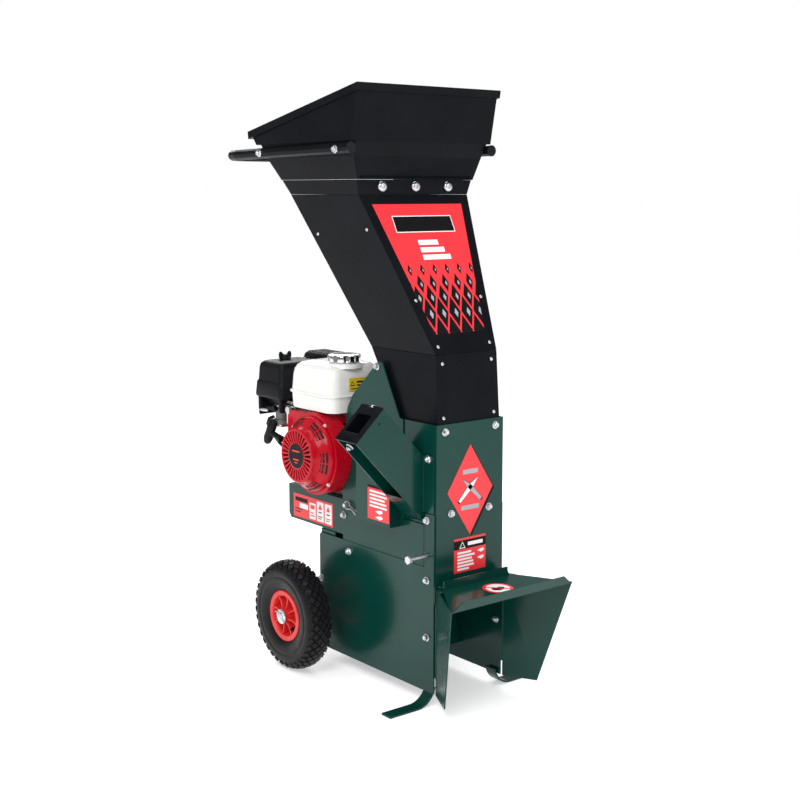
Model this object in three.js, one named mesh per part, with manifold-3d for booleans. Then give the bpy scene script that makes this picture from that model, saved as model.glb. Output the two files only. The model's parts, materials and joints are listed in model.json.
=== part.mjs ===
// Wood chipper and shredder: hopper, chipping rotor, belt drive, small engine and two wheels.
// Millimetres, +Z up. X = 0 is the centre plane, Y = 0 the front face of the housing, Z = 0 the ground.
import * as THREE from "three";
import { mergeVertices } from "three/addons/utils/BufferGeometryUtils.js";
import Module from "manifold-3d";

const wasm = await Module();
wasm.setup();

// ---------------------------------------------------------------- driving dimensions
const GAP = 0.4; // clearance between neighbouring pieces
const SHEET = 3; // folded sheet thickness
const HOUSING_HALF = 97; // outer half width of the housing front
const HOUSING_TOP = 628;
const HOUSING_BOTTOM = 272;
const HOUSING_DEPTH = 110;
const CHEEK_OUT = 100.4; // outer face of the rotor cheek plates
const CHEEK_IN = 97.4;
const SKIRT_IN = 97.4;
const SKIRT_OUT = 101.4;
const SKIRT_BOTTOM = 30;
const SKIRT_TOP = 311;
const ROTOR_Y = 168;
const ROTOR_Z = 468;
const ROTOR_R = 138;
const SHELL_R = 149;
const CRANK_Y = 396;
const CRANK_Z = 513;
const DECK_TOP = 407;
const AXLE_Y = 409;
const WHEEL_R = 130;
const WHEEL_HALF = 32;
const WHEEL_X = 196;
const HANDLE_R = 12.5;
const HANDLE_X = 201;
const CHUTE_FRONT = 40;
const CHUTE_REAR = 109;
const PULLEY_X = 130;
const BORE = 16.4; // shaft clearance holes

const PAINT = { green: 0x0b3d34, black: 0x15171c, red: 0xd8102e, white: 0xedebe9 };
const LOOK = {
  green_paint: [PAINT.green, 0.32, 0.1],
  black_paint: [PAINT.black, 0.45, 0.1],
  engine_red: [PAINT.red, 0.35, 0.1],
  engine_white: [PAINT.white, 0.35, 0.1],
  red_plastic: [0xc81e28, 0.4, 0.0],
  black_plastic: [0x17181a, 0.5, 0.0],
  tyre: [0x1a1a1b, 0.85, 0.0],
  zinc: [0xb9bcc0, 0.35, 1.0],
  steel: [0x9a9da1, 0.35, 1.0],
  cast_alloy: [0x9c9d9c, 0.55, 0.9],
  chrome: [0xd6d8da, 0.12, 1.0],
  belt_rubber: [0x202021, 0.9, 0.0],
};

// ---------------------------------------------------------------- shape helpers
const box = (x0, x1, y0, y1, z0, z1) => {
  const shape = new THREE.BoxGeometry(x1 - x0, y1 - y0, z1 - z0);
  return shape.translate((x0 + x1) / 2, (y0 + y1) / 2, (z0 + z1) / 2);
};

// Six-sided block between two rings of four corners, each ring counter-clockwise seen from above.
const block = (lower, upper) => {
  const shape = new THREE.BoxGeometry(1, 1, 1);
  const at = shape.attributes.position;
  for (let i = 0; i < at.count; i += 1) {
    const right = at.getX(i) > 0;
    const back = at.getY(i) > 0;
    const corner = back ? (right ? 2 : 3) : (right ? 1 : 0);
    const ring = at.getZ(i) > 0 ? upper : lower;
    at.setXYZ(i, ...ring[corner]);
  }
  return shape;
};

const ring = (half, y0, y1, zFront, zBack = zFront) => [
  [-half, y0, zFront],
  [half, y0, zFront],
  [half, y1, zBack],
  [-half, y1, zBack],
];

const outline = (points, holes = []) => {
  const shape = new THREE.Shape(points.map(([a, b]) => new THREE.Vector2(a, b)));
  for (const [a, b, r] of holes) {
    shape.holes.push(new THREE.Path().absarc(a, b, r, 0, Math.PI * 2, true));
  }
  return shape;
};

const extrude = (shape, depth, curveSegments = 8) =>
  new THREE.ExtrudeGeometry(shape, { depth, bevelEnabled: false, curveSegments });

// Plate whose outline is [y, z], between two X stations.
const plateX = (points, x0, x1, holes = []) => {
  const turn = new THREE.Matrix4().set(0, 0, 1, x0, 1, 0, 0, 0, 0, 1, 0, 0, 0, 0, 0, 1);
  return extrude(outline(points, holes), x1 - x0).applyMatrix4(turn);
};

// Plate whose outline is [x, z], between two Y stations.
const plateY = (points, y0, y1, holes = []) => {
  const turn = new THREE.Matrix4().set(1, 0, 0, 0, 0, 0, -1, y1, 0, 1, 0, 0, 0, 0, 0, 1);
  return extrude(outline(points, holes), y1 - y0).applyMatrix4(turn);
};

const rod = (from, to, radius, sides = 16, radiusTo = radius) => {
  const a = new THREE.Vector3(...from);
  const b = new THREE.Vector3(...to);
  const way = b.clone().sub(a);
  const shape = new THREE.CylinderGeometry(radiusTo, radius, way.length(), sides);
  const turn = new THREE.Quaternion().setFromUnitVectors(new THREE.Vector3(0, 1, 0), way.normalize());
  return shape.applyQuaternion(turn).translate(...a.add(b).multiplyScalar(0.5).toArray());
};

// Turned piece: profile of [radius, x] about a line along X through (y, z).
const turnedX = (profile, y, z, sides = 24) => {
  const points = profile.map(([r, x]) => new THREE.Vector2(r, x));
  return new THREE.LatheGeometry(points, sides).rotateZ(-Math.PI / 2).translate(0, y, z);
};

// Turned piece: profile of [radius, z] about a line along Z through (x, y).
const turnedZ = (profile, x, y, sides = 24) => {
  const points = profile.map(([r, z]) => new THREE.Vector2(r, z));
  return new THREE.LatheGeometry(points, sides).rotateX(Math.PI / 2).translate(x, y, 0);
};

const tubeAlong = (curve, radius, steps, sides = 8) => {
  const section = new THREE.Shape();
  for (let i = 0; i < sides; i += 1) {
    const angle = (i / sides) * Math.PI * 2;
    const to = i === 0 ? "moveTo" : "lineTo";
    section[to](Math.cos(angle) * radius, Math.sin(angle) * radius);
  }
  section.closePath();
  return new THREE.ExtrudeGeometry(section, { steps, extrudePath: curve, bevelEnabled: false });
};

const solid = (shape) => {
  const bare = shape.clone();
  bare.deleteAttribute("normal");
  bare.deleteAttribute("uv");
  const welded = mergeVertices(bare, 1e-3);
  const body = new wasm.Manifold(
    new wasm.Mesh({
      numProp: 3,
      vertProperties: new Float32Array(welded.attributes.position.array),
      triVerts: new Uint32Array(welded.index.array),
    }),
  );
  return body.volume() < 0 ? body.mirror([1, 0, 0]).mirror([1, 0, 0]) : body;
};

const surface = (body) => {
  const mesh = body.getMesh();
  const shape = new THREE.BufferGeometry();
  const stride = mesh.numProp;
  const at = new Float32Array((mesh.vertProperties.length / stride) * 3);
  for (let i = 0; i < at.length / 3; i += 1) {
    at.set(mesh.vertProperties.subarray(i * stride, i * stride + 3), i * 3);
  }
  shape.setAttribute("position", new THREE.BufferAttribute(at, 3));
  shape.setIndex(new THREE.BufferAttribute(new Uint32Array(mesh.triVerts), 1));
  return shape;
};

const join = (...shapes) => surface(wasm.Manifold.union(shapes.map(solid)));
const cut = (shape, ...tools) => surface(solid(shape).subtract(wasm.Manifold.union(tools.map(solid))));

const mirrored = (points) => points.map(([a, b]) => [-a, b]);

// ---------------------------------------------------------------- assembly
const group = new THREE.Group();
group.name = "wood_chipper";

const add = (name, slot, shape) => {
  const [color, roughness, metalness] = LOOK[slot];
  const bare = shape.clone();
  const flat = bare.index ? bare.toNonIndexed() : bare;
  flat.deleteAttribute("normal");
  flat.computeVertexNormals();
  const mesh = new THREE.Mesh(flat, new THREE.MeshStandardMaterial({ color, roughness, metalness }));
  mesh.name = name;
  mesh.material.name = slot;
  group.add(mesh);
};

const SIDES = [
  ["left", -1],
  ["right", 1],
];
const between = (side, a, b) => (side < 0 ? [-b, -a] : [a, b]);

// ---------------------------------------------------------------- chassis and housing
const axleHole = [AXLE_Y, WHEEL_R, 8 + GAP];
const skirtOutline = [
  [3, SKIRT_BOTTOM],
  [423, SKIRT_BOTTOM],
  [429, SKIRT_BOTTOM + 6],
  [429, SKIRT_TOP - 6],
  [423, SKIRT_TOP],
  [37, SKIRT_TOP],
  [35.4, SKIRT_TOP + 2],
  [35.4, 429],
  [32, 432],
  [3, 432],
];
const PEG_Y = 24;
const PEG_Z = 338;
for (const [side, sign] of SIDES) {
  const [x0, x1] = between(sign, SKIRT_IN, SKIRT_OUT);
  const holes = sign < 0 ? [axleHole, [PEG_Y, PEG_Z, 6.4]] : [axleHole];
  add(`${side}_skirt_panel`, "green_paint", plateX(skirtOutline, x0, x1, holes));
}

const cheekOutline = [
  [38, SKIRT_TOP + GAP],
  [336, SKIRT_TOP + GAP],
  [336, 444],
  [321, 464],
  [321, 600],
  [314, 631],
  [295, 661],
  [199, 748],
  [184, 746],
  [122.5, 630],
  [HOUSING_DEPTH + GAP, 627],
  [HOUSING_DEPTH + GAP, 405],
  [38, 405],
];
const chutePort = box(-120, -80, CHUTE_FRONT + 5, CHUTE_REAR - 4, 424, 538);
const HITCH_Y = 311;
const HITCH_R = 5;
const HITCH_Z = 399.5;
for (const [side, sign] of SIDES) {
  const [x0, x1] = between(sign, CHEEK_IN, CHEEK_OUT);
  const holes = [[ROTOR_Y, ROTOR_Z, BORE]];
  if (sign < 0) {
    holes.push([HITCH_Y, HITCH_Z, HITCH_R + GAP]);
  }
  add(`${side}_cheek_plate`, "green_paint", plateX(cheekOutline, x0, x1, holes));
}

const inletShell = cut(
  box(-HOUSING_HALF, HOUSING_HALF, 0, HOUSING_DEPTH + 15, HOUSING_BOTTOM, HOUSING_TOP),
  box(-HOUSING_HALF + SHEET, HOUSING_HALF - SHEET, SHEET, 200, 200, 700),
);
const inletHousing = cut(
  join(
    inletShell,
    box(-94, 94, -23.4, 1, HOUSING_BOTTOM, HOUSING_BOTTOM + SHEET),
    box(-94, 94, -23.4, -23.4 + SHEET, HOUSING_BOTTOM, HOUSING_BOTTOM + 18),
  ),
  chutePort,
  rod([-110, PEG_Y, PEG_Z], [-92, PEG_Y, PEG_Z], 6.4),
);
add("inlet_housing", "green_paint", inletHousing);

const wrapLine = [
  [217, 716],
  [288, 655],
  [306, 629],
  [314, 598],
];
for (let i = 0; i <= 12; i += 1) {
  const angle = THREE.MathUtils.degToRad(34 - i * 9);
  wrapLine.push([ROTOR_Y + Math.cos(angle) * SHELL_R, ROTOR_Z + Math.sin(angle) * SHELL_R]);
}
wrapLine.splice(3, 1, [310, 596], [310, 572]);
wrapLine.push([186, 262], [140, 70]);
const stripOutline = (line, thick) => {
  const other = line.map(([a, b], i) => {
    const [pa, pb] = line[Math.max(i - 1, 0)];
    const [na, nb] = line[Math.min(i + 1, line.length - 1)];
    const length = Math.hypot(na - pa, nb - pb);
    return [a - ((nb - pb) / length) * thick, b + ((na - pa) / length) * thick];
  });
  return [...line, ...other.reverse()];
};
add("housing_wrapper", "green_paint", plateX(stripOutline(wrapLine, SHEET), -96.9, 96.9));

const rearPanel = cut(
  box(-97, 97, 372, 428, 40, 320),
  box(-94, 94, 300, 425, 0, 317),
  rod([-120, AXLE_Y, WHEEL_R], [120, AXLE_Y, WHEEL_R], 8 + GAP),
);
add("rear_panel", "green_paint", rearPanel);

const wing = (sign) => {
  const root = [[sign * 101, -4], [sign * 98, -4]];
  const low = [[sign * 139, -76.5], [sign * 136, -78]];
  const high = [[sign * 178, -143], [sign * 175, -143]];
  const lower = [[...low[1], 30], [...low[0], 30], [...root[0], 30], [...root[1], 30]];
  const upper = [[...high[1], 268], [...high[0], 268], [...root[0], 270], [...root[1], 270]];
  if (sign > 0) {
    return block(lower, upper);
  }
  const swap = ([a, b, c, d]) => [b, a, d, c];
  return block(swap(lower), swap(upper));
};
const hoodTop = block(
  [[-178, -143, 265], [178, -143, 265], [101, -27, 269], [-101, -27, 269]],
  [[-178, -143, 268], [178, -143, 268], [101, -27, 272], [-101, -27, 272]],
);
const hoodFlange = (sign) => {
  const [x0, x1] = between(sign, 94, 97);
  return box(x0, x1, -5, 32, 66, 232);
};
const hoodBridge = (sign) => {
  const [x0, x1] = between(sign, 94, 100.5);
  return box(x0, x1, -6, -2, 66, 232);
};
const hoodShelf = (sign) => block(
  [
    [sign < 0 ? -113 : 90, -27.5, 268],
    [sign < 0 ? -90 : 113, -27.5, 268],
    [sign < 0 ? -90 : 100, -4.5, 268],
    [sign < 0 ? -100 : 90, -4.5, 268],
  ],
  [
    [sign < 0 ? -113 : 90, -27.5, 271],
    [sign < 0 ? -90 : 113, -27.5, 271],
    [sign < 0 ? -90 : 100, -4.5, 271],
    [sign < 0 ? -100 : 90, -4.5, 271],
  ],
);
add("discharge_hood", "green_paint", join(
  hoodTop,
  wing(-1),
  wing(1),
  hoodFlange(-1),
  hoodFlange(1),
  hoodBridge(-1),
  hoodBridge(1),
  hoodShelf(-1),
  hoodShelf(1),
  block(
    [[-97, -27, 269], [97, -27, 269], [97, -24, 269], [-97, -24, 269]],
    [[-87, -27, 291], [87, -27, 291], [87, -24, 291], [-87, -24, 291]],
  ),
  block(
    [[-173, -143, 266], [173, -143, 266], [173, -140, 266], [-173, -140, 266]],
    [[-148, -148, 286], [148, -148, 286], [148, -145, 286], [-148, -145, 286]],
  ),
));

// ---------------------------------------------------------------- chipper chute on the left side
const chuteSection = [[-210, 671], [-282, 604], [-SKIRT_IN, 410], [-SKIRT_IN, 554]];
const chute = cut(
  join(
    plateY(chuteSection, CHUTE_FRONT, CHUTE_REAR),
    box(-SKIRT_IN - SHEET, -SKIRT_IN, 5, CHUTE_FRONT + 4, 434, 560),
    box(-SKIRT_IN - SHEET, -SKIRT_IN, CHUTE_REAR - 4, CHUTE_REAR + 1, 434, 552),
  ),
  plateY([[-208, 677], [-288, 602.5], [-90, 406], [-90, 542]], CHUTE_FRONT + SHEET, CHUTE_REAR - SHEET),
);
add("chipper_chute", "green_paint", chute);

// Black frame set into the mouth; its plane is square to the chute.
const mouthDir = new THREE.Vector2(72, 67).normalize();
const mouthIn = new THREE.Vector2(mouthDir.y, -mouthDir.x);
const mouthAt = (along, depth) => [
  -282 + mouthDir.x * along + mouthIn.x * depth,
  604 + mouthDir.y * along + mouthIn.y * depth,
];
const mouthBlock = (a0, a1, y0, y1, d0, d1) =>
  plateY([mouthAt(a0, d0), mouthAt(a1, d0), mouthAt(a1, d1), mouthAt(a0, d1)], y0, y1);
add("chute_mouth_frame", "black_paint", cut(
  join(
    mouthBlock(-1, 99.4, CHUTE_FRONT - 1, CHUTE_REAR + 1, -5, -GAP),
    mouthBlock(20, 76, 48, 102, -2, 40),
  ),
  mouthBlock(23, 73, 51.5, 98.5, -15, 60),
));

add("bearing_guard", "green_paint", cut(
  box(-130, -CHEEK_OUT - GAP, 120, 244, 385, 550),
  box(-127.5, -80, 122.5, 241.5, 387.5, 547.5),
));

// ---------------------------------------------------------------- hopper
const funnelOuter = [
  [89.5, 3.6, 134, 615],
  [88, 14, 239, 777],
  [157, 194, 455, 1117],
  [166, 190, 477, 1150],
];
const stack = (rows, inset) => rows.slice(1).map((row, i) => {
  const [h0, f0, b0, z0] = rows[i];
  const [h1, f1, b1, z1] = row;
  return block(
    ring(h0 - inset, f0 + inset, b0 - inset, z0),
    ring(h1 - inset, f1 + inset, b1 - inset, z1),
  );
});
const capStack = (rows, inset) => {
  const [h0, f0, b0, z0] = rows[0];
  const [h1, f1, b1, z1] = rows[rows.length - 1];
  return [
    ...stack(rows, inset),
    box(-h0 + inset, h0 - inset, f0 + inset, b0 - inset, z0 - 5, z0 + 0.01),
    box(-h1 + inset, h1 - inset, f1 + inset, b1 - inset, z1 - 0.01, z1 + 5),
  ];
};
const funnelPiece = (name, rows, trimLow) => {
  const [low, high] = rows;
  const cutLow = trimLow ? GAP : 0;
  const trimmed = [[...low.slice(0, 3), low[3] + cutLow], high];
  add(name, "black_paint", cut(join(...stack(trimmed, 0)), ...capStack(trimmed, SHEET)));
};
funnelPiece("funnel_lower_box", funnelOuter.slice(0, 2), false);
funnelPiece("funnel_body", funnelOuter.slice(1, 3), true);
funnelPiece("hopper_collar", funnelOuter.slice(2, 4), true);

const hoodLow = [
  [167, 186, 478, 1150.4],
  [183, 176, 512, 1200],
  [188.5, 163, 531, 1232],
];
const RIM_FRONT = 1352;
const RIM_BACK = 1263;
const hopperHigh = (half, front0, back0, front1, back1, z0, drop = 0) =>
  block(ring(half, front0, back0, z0), ring(half, front1, back1, RIM_FRONT - drop, RIM_BACK - drop));
const rimBand = block(
  ring(205, 137, 560, RIM_FRONT - 17, RIM_BACK - 17),
  ring(205, 134, 562, RIM_FRONT, RIM_BACK),
);
const hopperInner = [
  ...stack([[164, 189, 475, 1145], ...hoodLow.slice(1).map(([h, f, b, z]) => [h - 3, f + 3, b - 3, z])], 0),
  box(-164, 164, 189, 475, 1140, 1151),
  block(ring(197, 166, 529, 1234.5), ring(197, 143, 556, RIM_FRONT + 8, RIM_BACK + 8)),
  box(-185.5, 185.5, 166, 528, 1231, 1236),
];
add("hopper_hood", "black_paint", cut(
  join(
    ...stack(hoodLow, 0),
    hopperHigh(200, 162, 533, 138.5, 558, 1231.5, 0.5),
    rimBand,
    box(-152, 152, 182, 190, 1150.4, 1154),
  ),
  ...hopperInner,
));

// ---------------------------------------------------------------- handle
class HandleLine extends THREE.Curve {
  getPoint(t, target = new THREE.Vector3()) {
    const bend = 60;
    const front = 162;
    const rear = 678;
    const straight = rear - bend - front;
    const arc = (bend * Math.PI) / 2;
    const cross = 2 * (HANDLE_X - bend);
    const total = 2 * (straight + arc) + cross;
    const s = t * total;
    const half = s <= total / 2 ? s : total - s;
    const sign = s <= total / 2 ? -1 : 1;
    let x = HANDLE_X;
    let y = front + half;
    if (half > straight && half <= straight + arc) {
      const angle = (half - straight) / bend;
      x = HANDLE_X - bend + bend * Math.cos(angle);
      y = rear - bend + bend * Math.sin(angle);
    } else if (half > straight + arc) {
      x = HANDLE_X - bend - (half - straight - arc);
      y = rear;
    }
    return target.set(sign * x, y, 1217 - (y - front) * 0.0155);
  }
}
const handleSteps = 46;
add("handle_tube", "black_paint", tubeAlong(new HandleLine(), HANDLE_R, handleSteps, 10));
for (const [side, sign] of SIDES) {
  add(`handle_end_cap_${side}`, "black_plastic", join(
    rod([sign * HANDLE_X, 158, 1217], [sign * HANDLE_X, 161.6, 1217], 13, 16),
    rod([sign * HANDLE_X, 155, 1217], [sign * HANDLE_X, 158.2, 1217], 9, 16, 13),
  ));
}

// ---------------------------------------------------------------- engine base, wheels, feet
add("engine_base", "green_paint", join(
  box(-97, 97, 323, 566, 403, DECK_TOP),
  ...SIDES.map(([, sign]) => {
    const [x0, x1] = between(sign, 93, 97);
    return plateX([[323, 322], [558, 322], [566, 334], [566, 404], [323, 404]], x0, x1);
  }),
  box(-94, 94, 562, 566, 340, 404),
));

const wheelShoulder = SKIRT_OUT + GAP;
add("axle", "zinc", join(
  rod([-228, AXLE_Y, WHEEL_R], [228, AXLE_Y, WHEEL_R], 8, 16),
  ...SIDES.flatMap(([, sign]) => [
    rod([sign * wheelShoulder, AXLE_Y, WHEEL_R], [sign * 166.4, AXLE_Y, WHEEL_R], 13, 16),
    rod([sign * 226.6, AXLE_Y, WHEEL_R], [sign * 229, AXLE_Y, WHEEL_R], 18, 20),
  ]),
));
const tyreProfile = [
  [61, -23], [74, -30], [90, -WHEEL_HALF], [106, -WHEEL_HALF], [118, -28], [126, -20], [WHEEL_R, -9],
  [WHEEL_R, 9], [126, 20], [118, 28], [106, WHEEL_HALF], [90, WHEEL_HALF], [74, 30], [61, 23], [61, -23],
];
const rimProfile = [
  [8.4, -29], [18, -29], [18, -8], [50, -8], [54, -24], [60.6, -24],
  [60.6, 24], [54, 24], [50, 8], [18, 8], [18, 29], [8.4, 29], [8.4, -29],
];
for (const [side, sign] of SIDES) {
  const place = (profile) => profile.map(([r, x]) => [r, x + sign * WHEEL_X]);
  add(`${side}_tyre`, "tyre", turnedX(place(tyreProfile), AXLE_Y, WHEEL_R, 32));
  add(`${side}_wheel_rim`, "red_plastic", turnedX(place(rimProfile), AXLE_Y, WHEEL_R, 20));
}

const FOOT_THICK = 4.5;
const FOOT_BEND = 50;
const FOOT_X = 87.3; // inner face of the foot where it leaves the side panel
const footArc = (radius) => {
  const points = [];
  for (let i = 0; i <= 8; i += 1) {
    const angle = THREE.MathUtils.degToRad(10 + i * 10);
    points.push([FOOT_X + FOOT_BEND - radius * Math.cos(angle), FOOT_BEND - radius * Math.sin(angle)]);
  }
  return points;
};
const footOutline = [
  ...footArc(FOOT_BEND),
  [215, 0],
  [215, FOOT_THICK],
  ...footArc(FOOT_BEND - FOOT_THICK).reverse(),
];
for (const [side, sign] of SIDES) {
  const points = sign < 0 ? mirrored(footOutline).reverse() : footOutline;
  add(`${side}_foot`, "green_paint", plateY(points, 10.7, 42.5));
}

// ---------------------------------------------------------------- pins on the left side
add("hitch_pin", "zinc", rod([-116, HITCH_Y, HITCH_Z], [-78, HITCH_Y, HITCH_Z], HITCH_R, 16));
const clipPoints = [[270, 389], [284, 393], [300, 398.5], [303, 405.5], [311, 408.2], [318, 405],
  [319.6, 399], [317.6, 392.6], [310, 390], [296, 392.6], [282, 386.5], [276, 381]];
const clipCurve = new THREE.CatmullRomCurve3(
  clipPoints.map(([y, z], i) => new THREE.Vector3(-104.5 - i * 0.35, y, z)),
);
add("hairpin_clip", "zinc", tubeAlong(clipCurve, 1.5, 30, 6));
add("side_peg_bolt", "zinc", join(
  rod([-150, PEG_Y, PEG_Z], [-84, PEG_Y, PEG_Z], 6, 12),
  rod([-158, PEG_Y, PEG_Z], [-150, PEG_Y, PEG_Z], 9.5, 6),
  rod([-89.6, PEG_Y, PEG_Z], [-82, PEG_Y, PEG_Z], 10, 6),
));

// ---------------------------------------------------------------- rotor
const polar = (radius, degrees) => {
  const angle = THREE.MathUtils.degToRad(degrees);
  return [ROTOR_Y + radius * Math.cos(angle), ROTOR_Z + radius * Math.sin(angle)];
};
add("rotor_shaft", "steel", rod([-118, ROTOR_Y, ROTOR_Z], [146, ROTOR_Y, ROTOR_Z], 12, 20));
const pinAngles = [45, 225];
add("rotor_disc", "steel", join(
  turnedX([[12.4, -72], [ROTOR_R, -72], [ROTOR_R, -62], [12.4, -62], [12.4, -72]], ROTOR_Y, ROTOR_Z, 30),
  turnedX([[12.4, 52], [104, 52], [104, 60], [12.4, 60], [12.4, 52]], ROTOR_Y, ROTOR_Z, 20),
  turnedX([[12.4, -64], [22, -64], [22, 54], [12.4, 54], [12.4, -64]], ROTOR_Y, ROTOR_Z, 14),
  ...pinAngles.map((degrees) => {
    const [y, z] = polar(82, degrees);
    return rod([-64, y, z], [54, y, z], 6, 12);
  }),
));
for (const [index, degrees] of [0, 180].entries()) {
  const turn = new THREE.Matrix4().makeRotationX(THREE.MathUtils.degToRad(degrees));
  const blade = box(-78.4, -72.4, -14, 16, 52, 130).applyMatrix4(turn).translate(0, ROTOR_Y, ROTOR_Z);
  add(`rotor_blade_${index + 1}`, "steel", blade);
}
for (const [index, degrees] of pinAngles.entries()) {
  const turn = new THREE.Matrix4().makeRotationX(THREE.MathUtils.degToRad(degrees));
  const bar = cut(
    box(-30, 30, 68, 134, -10, 10),
    rod([-40, 82, 0], [40, 82, 0], 6.6, 12),
  );
  add(`rotor_hammer_${index + 1}`, "steel", bar.applyMatrix4(turn).translate(0, ROTOR_Y, ROTOR_Z));
}
for (const [side, sign] of SIDES) {
  const face = CHEEK_OUT + GAP;
  const profile = [[12.4, face], [38, face], [38, face + 5], [26, face + 10], [12.4, face + 10]];
  const rows = [...profile, profile[0]].map(([r, x]) => [r, x * sign]);
  add(`${side}_bearing`, "cast_alloy", turnedX(sign < 0 ? rows.reverse() : rows, ROTOR_Y, ROTOR_Z, 20));
}

// ---------------------------------------------------------------- belt drive on the right side
const pulley = (bore, groove, flange, y, z) => {
  const rows = [[bore, -12], [flange, -12], [flange, -9], [groove, -6], [groove, 6], [flange, 9],
    [flange, 12], [bore, 12], [bore, -12]];
  return turnedX(rows.map(([r, x]) => [r, x + PULLEY_X]), y, z, 28);
};
const ROTOR_GROOVE = 37;
const CRANK_GROOVE = 47;
add("rotor_pulley", "cast_alloy", pulley(12.4, ROTOR_GROOVE, 47, ROTOR_Y, ROTOR_Z));
add("clutch_pulley", "cast_alloy", pulley(10.4, CRANK_GROOVE, 57, CRANK_Y, CRANK_Z));

const loopOutline = (offset, rotorRadius, crankRadius, steps) => {
  const dy = CRANK_Y - ROTOR_Y;
  const dz = CRANK_Z - ROTOR_Z;
  const tilt = Math.atan2(dz, dy);
  const swing = Math.acos((rotorRadius - crankRadius) / Math.hypot(dy, dz));
  const points = [];
  for (let i = 0; i <= steps; i += 1) {
    const angle = tilt + swing + (i / steps) * (2 * Math.PI - 2 * swing);
    points.push([
      ROTOR_Y + (rotorRadius + offset) * Math.cos(angle),
      ROTOR_Z + (rotorRadius + offset) * Math.sin(angle),
    ]);
  }
  for (let i = 0; i <= steps; i += 1) {
    const angle = tilt - swing + (i / steps) * 2 * swing;
    points.push([
      CRANK_Y + (crankRadius + offset) * Math.cos(angle),
      CRANK_Z + (crankRadius + offset) * Math.sin(angle),
    ]);
  }
  return points;
};
const loopPlate = (offset, x0, x1, holes = []) =>
  plateX(loopOutline(offset, ROTOR_GROOVE, CRANK_GROOVE, 16), x0, x1, holes);
add("drive_belt", "belt_rubber", cut(
  loopPlate(8.6, PULLEY_X - 5, PULLEY_X + 5),
  loopPlate(0.8, PULLEY_X - 8, PULLEY_X + 8),
));
const guardHoles = [
  rod([100, ROTOR_Y, ROTOR_Z], [120, ROTOR_Y, ROTOR_Z], BORE),
  rod([100, CRANK_Y, CRANK_Z], [120, CRANK_Y, CRANK_Z], BORE),
];
add("belt_guard", "green_paint", join(
  cut(
    loopPlate(24, 112, 156),
    loopPlate(21.5, 114.5, 153.5),
    ...guardHoles,
  ),
  rod([CHEEK_OUT + GAP, 232, 520], [113, 232, 520], 6, 10),
  rod([CHEEK_OUT + GAP, 300, 452], [113, 300, 452], 6, 10),
));

// ---------------------------------------------------------------- engine
const TILT = THREE.MathUtils.degToRad(15);
const barrel = (shape) => {
  const turn = new THREE.Matrix4().makeRotationX(TILT);
  return shape.applyMatrix4(turn).translate(0, CRANK_Y, CRANK_Z);
};
const fins = [];
for (let i = 0; i < 6; i += 1) {
  fins.push(barrel(box(-50, 50, 82 + i * 13, 87 + i * 13, -48, 46)));
}
const engineBlock = cut(
  join(
    box(-76, 34, 332, 468, DECK_TOP + GAP, 592),
    box(-66, 26, 322, 478, DECK_TOP + GAP, 417),
    barrel(rod([0, 40, 0], [0, 165, 0], 40, 20)),
    ...fins,
    barrel(box(-52, 52, 160, 178, -50, 48)),
    barrel(box(-34, 34, 176, 190, -40, 40)),
  ),
  rod([-120, CRANK_Y, CRANK_Z], [60, CRANK_Y, CRANK_Z], 10 + GAP * 2, 16),
);
add("engine_block", "cast_alloy", engineBlock);
add("crankshaft", "steel", join(
  rod([-126, CRANK_Y, CRANK_Z], [146, CRANK_Y, CRANK_Z], 10, 16),
  rod([-124, CRANK_Y, CRANK_Z], [-103, CRANK_Y, CRANK_Z], 80, 24),
));
add("fan_cover", "engine_red", cut(
  join(
    rod([-145, CRANK_Y, CRANK_Z], [-79, CRANK_Y, CRANK_Z], 98, 40),
    plateX([[CRANK_Y, CRANK_Z], [504, CRANK_Z - 20], [504, 590], [490, 604], [CRANK_Y, 604]], -140, -79),
  ),
  rod([-142, CRANK_Y, CRANK_Z], [-70, CRANK_Y, CRANK_Z], 90, 40),
  rod([-160, CRANK_Y, CRANK_Z], [-130, CRANK_Y, CRANK_Z], 64, 32),
  box(-101.4, -70, 290, 345, 400, 620),
));
add("recoil_housing", "engine_red", turnedX(
  [[0, -190], [58, -190], [62, -187], [68, -166], [84, -158], [88, -145.4], [85, -145.4],
    [81, -155], [65, -163], [59, -186], [0, -187]],
  CRANK_Y, CRANK_Z, 28,
));
add("recoil_handle", "black_plastic", join(
  rod([-165, 527, 576], [-165, 560, 517], 9, 12),
  rod([-165, 498, 536], [-165, 546, 547], 4, 10),
  rod([-165, 495, 535.3], [-165, 501, 536.6], 7, 10),
));

const softBox = (x0, x1, y0, y1, z0, z1, radius) => {
  const shape = new THREE.Shape();
  const [w, d] = [x1 - x0, y1 - y0];
  shape.moveTo(radius, 0);
  shape.lineTo(w - radius, 0);
  shape.absarc(w - radius, radius, radius, -Math.PI / 2, 0);
  shape.absarc(w - radius, d - radius, radius, 0, Math.PI / 2);
  shape.absarc(radius, d - radius, radius, Math.PI / 2, Math.PI);
  shape.absarc(radius, radius, radius, Math.PI, Math.PI * 1.5);
  return extrude(shape, z1 - z0, 3).translate(x0, y0, z0);
};
const CAP_X = -72;
const CAP_Y = 364;
add("fuel_tank", "engine_white", join(
  softBox(-137, 21, 328, 503, 612, 650, 24),
  softBox(-143, 27, 322, 509, 648, 655, 28),
  softBox(-139, 23, 326, 505, 654, 716, 26),
  softBox(-127, 11, 338, 493, 715, 727, 22),
  rod([CAP_X, CAP_Y, 724], [CAP_X, CAP_Y, 729], 32, 20),
));
const capProfile = [[0, 729.4], [37, 729.4], [40, 732], [40, 744], [35, 747.5], [0, 748.4]];
add("fuel_cap", "chrome", turnedZ(capProfile, CAP_X, CAP_Y, 30));
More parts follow.
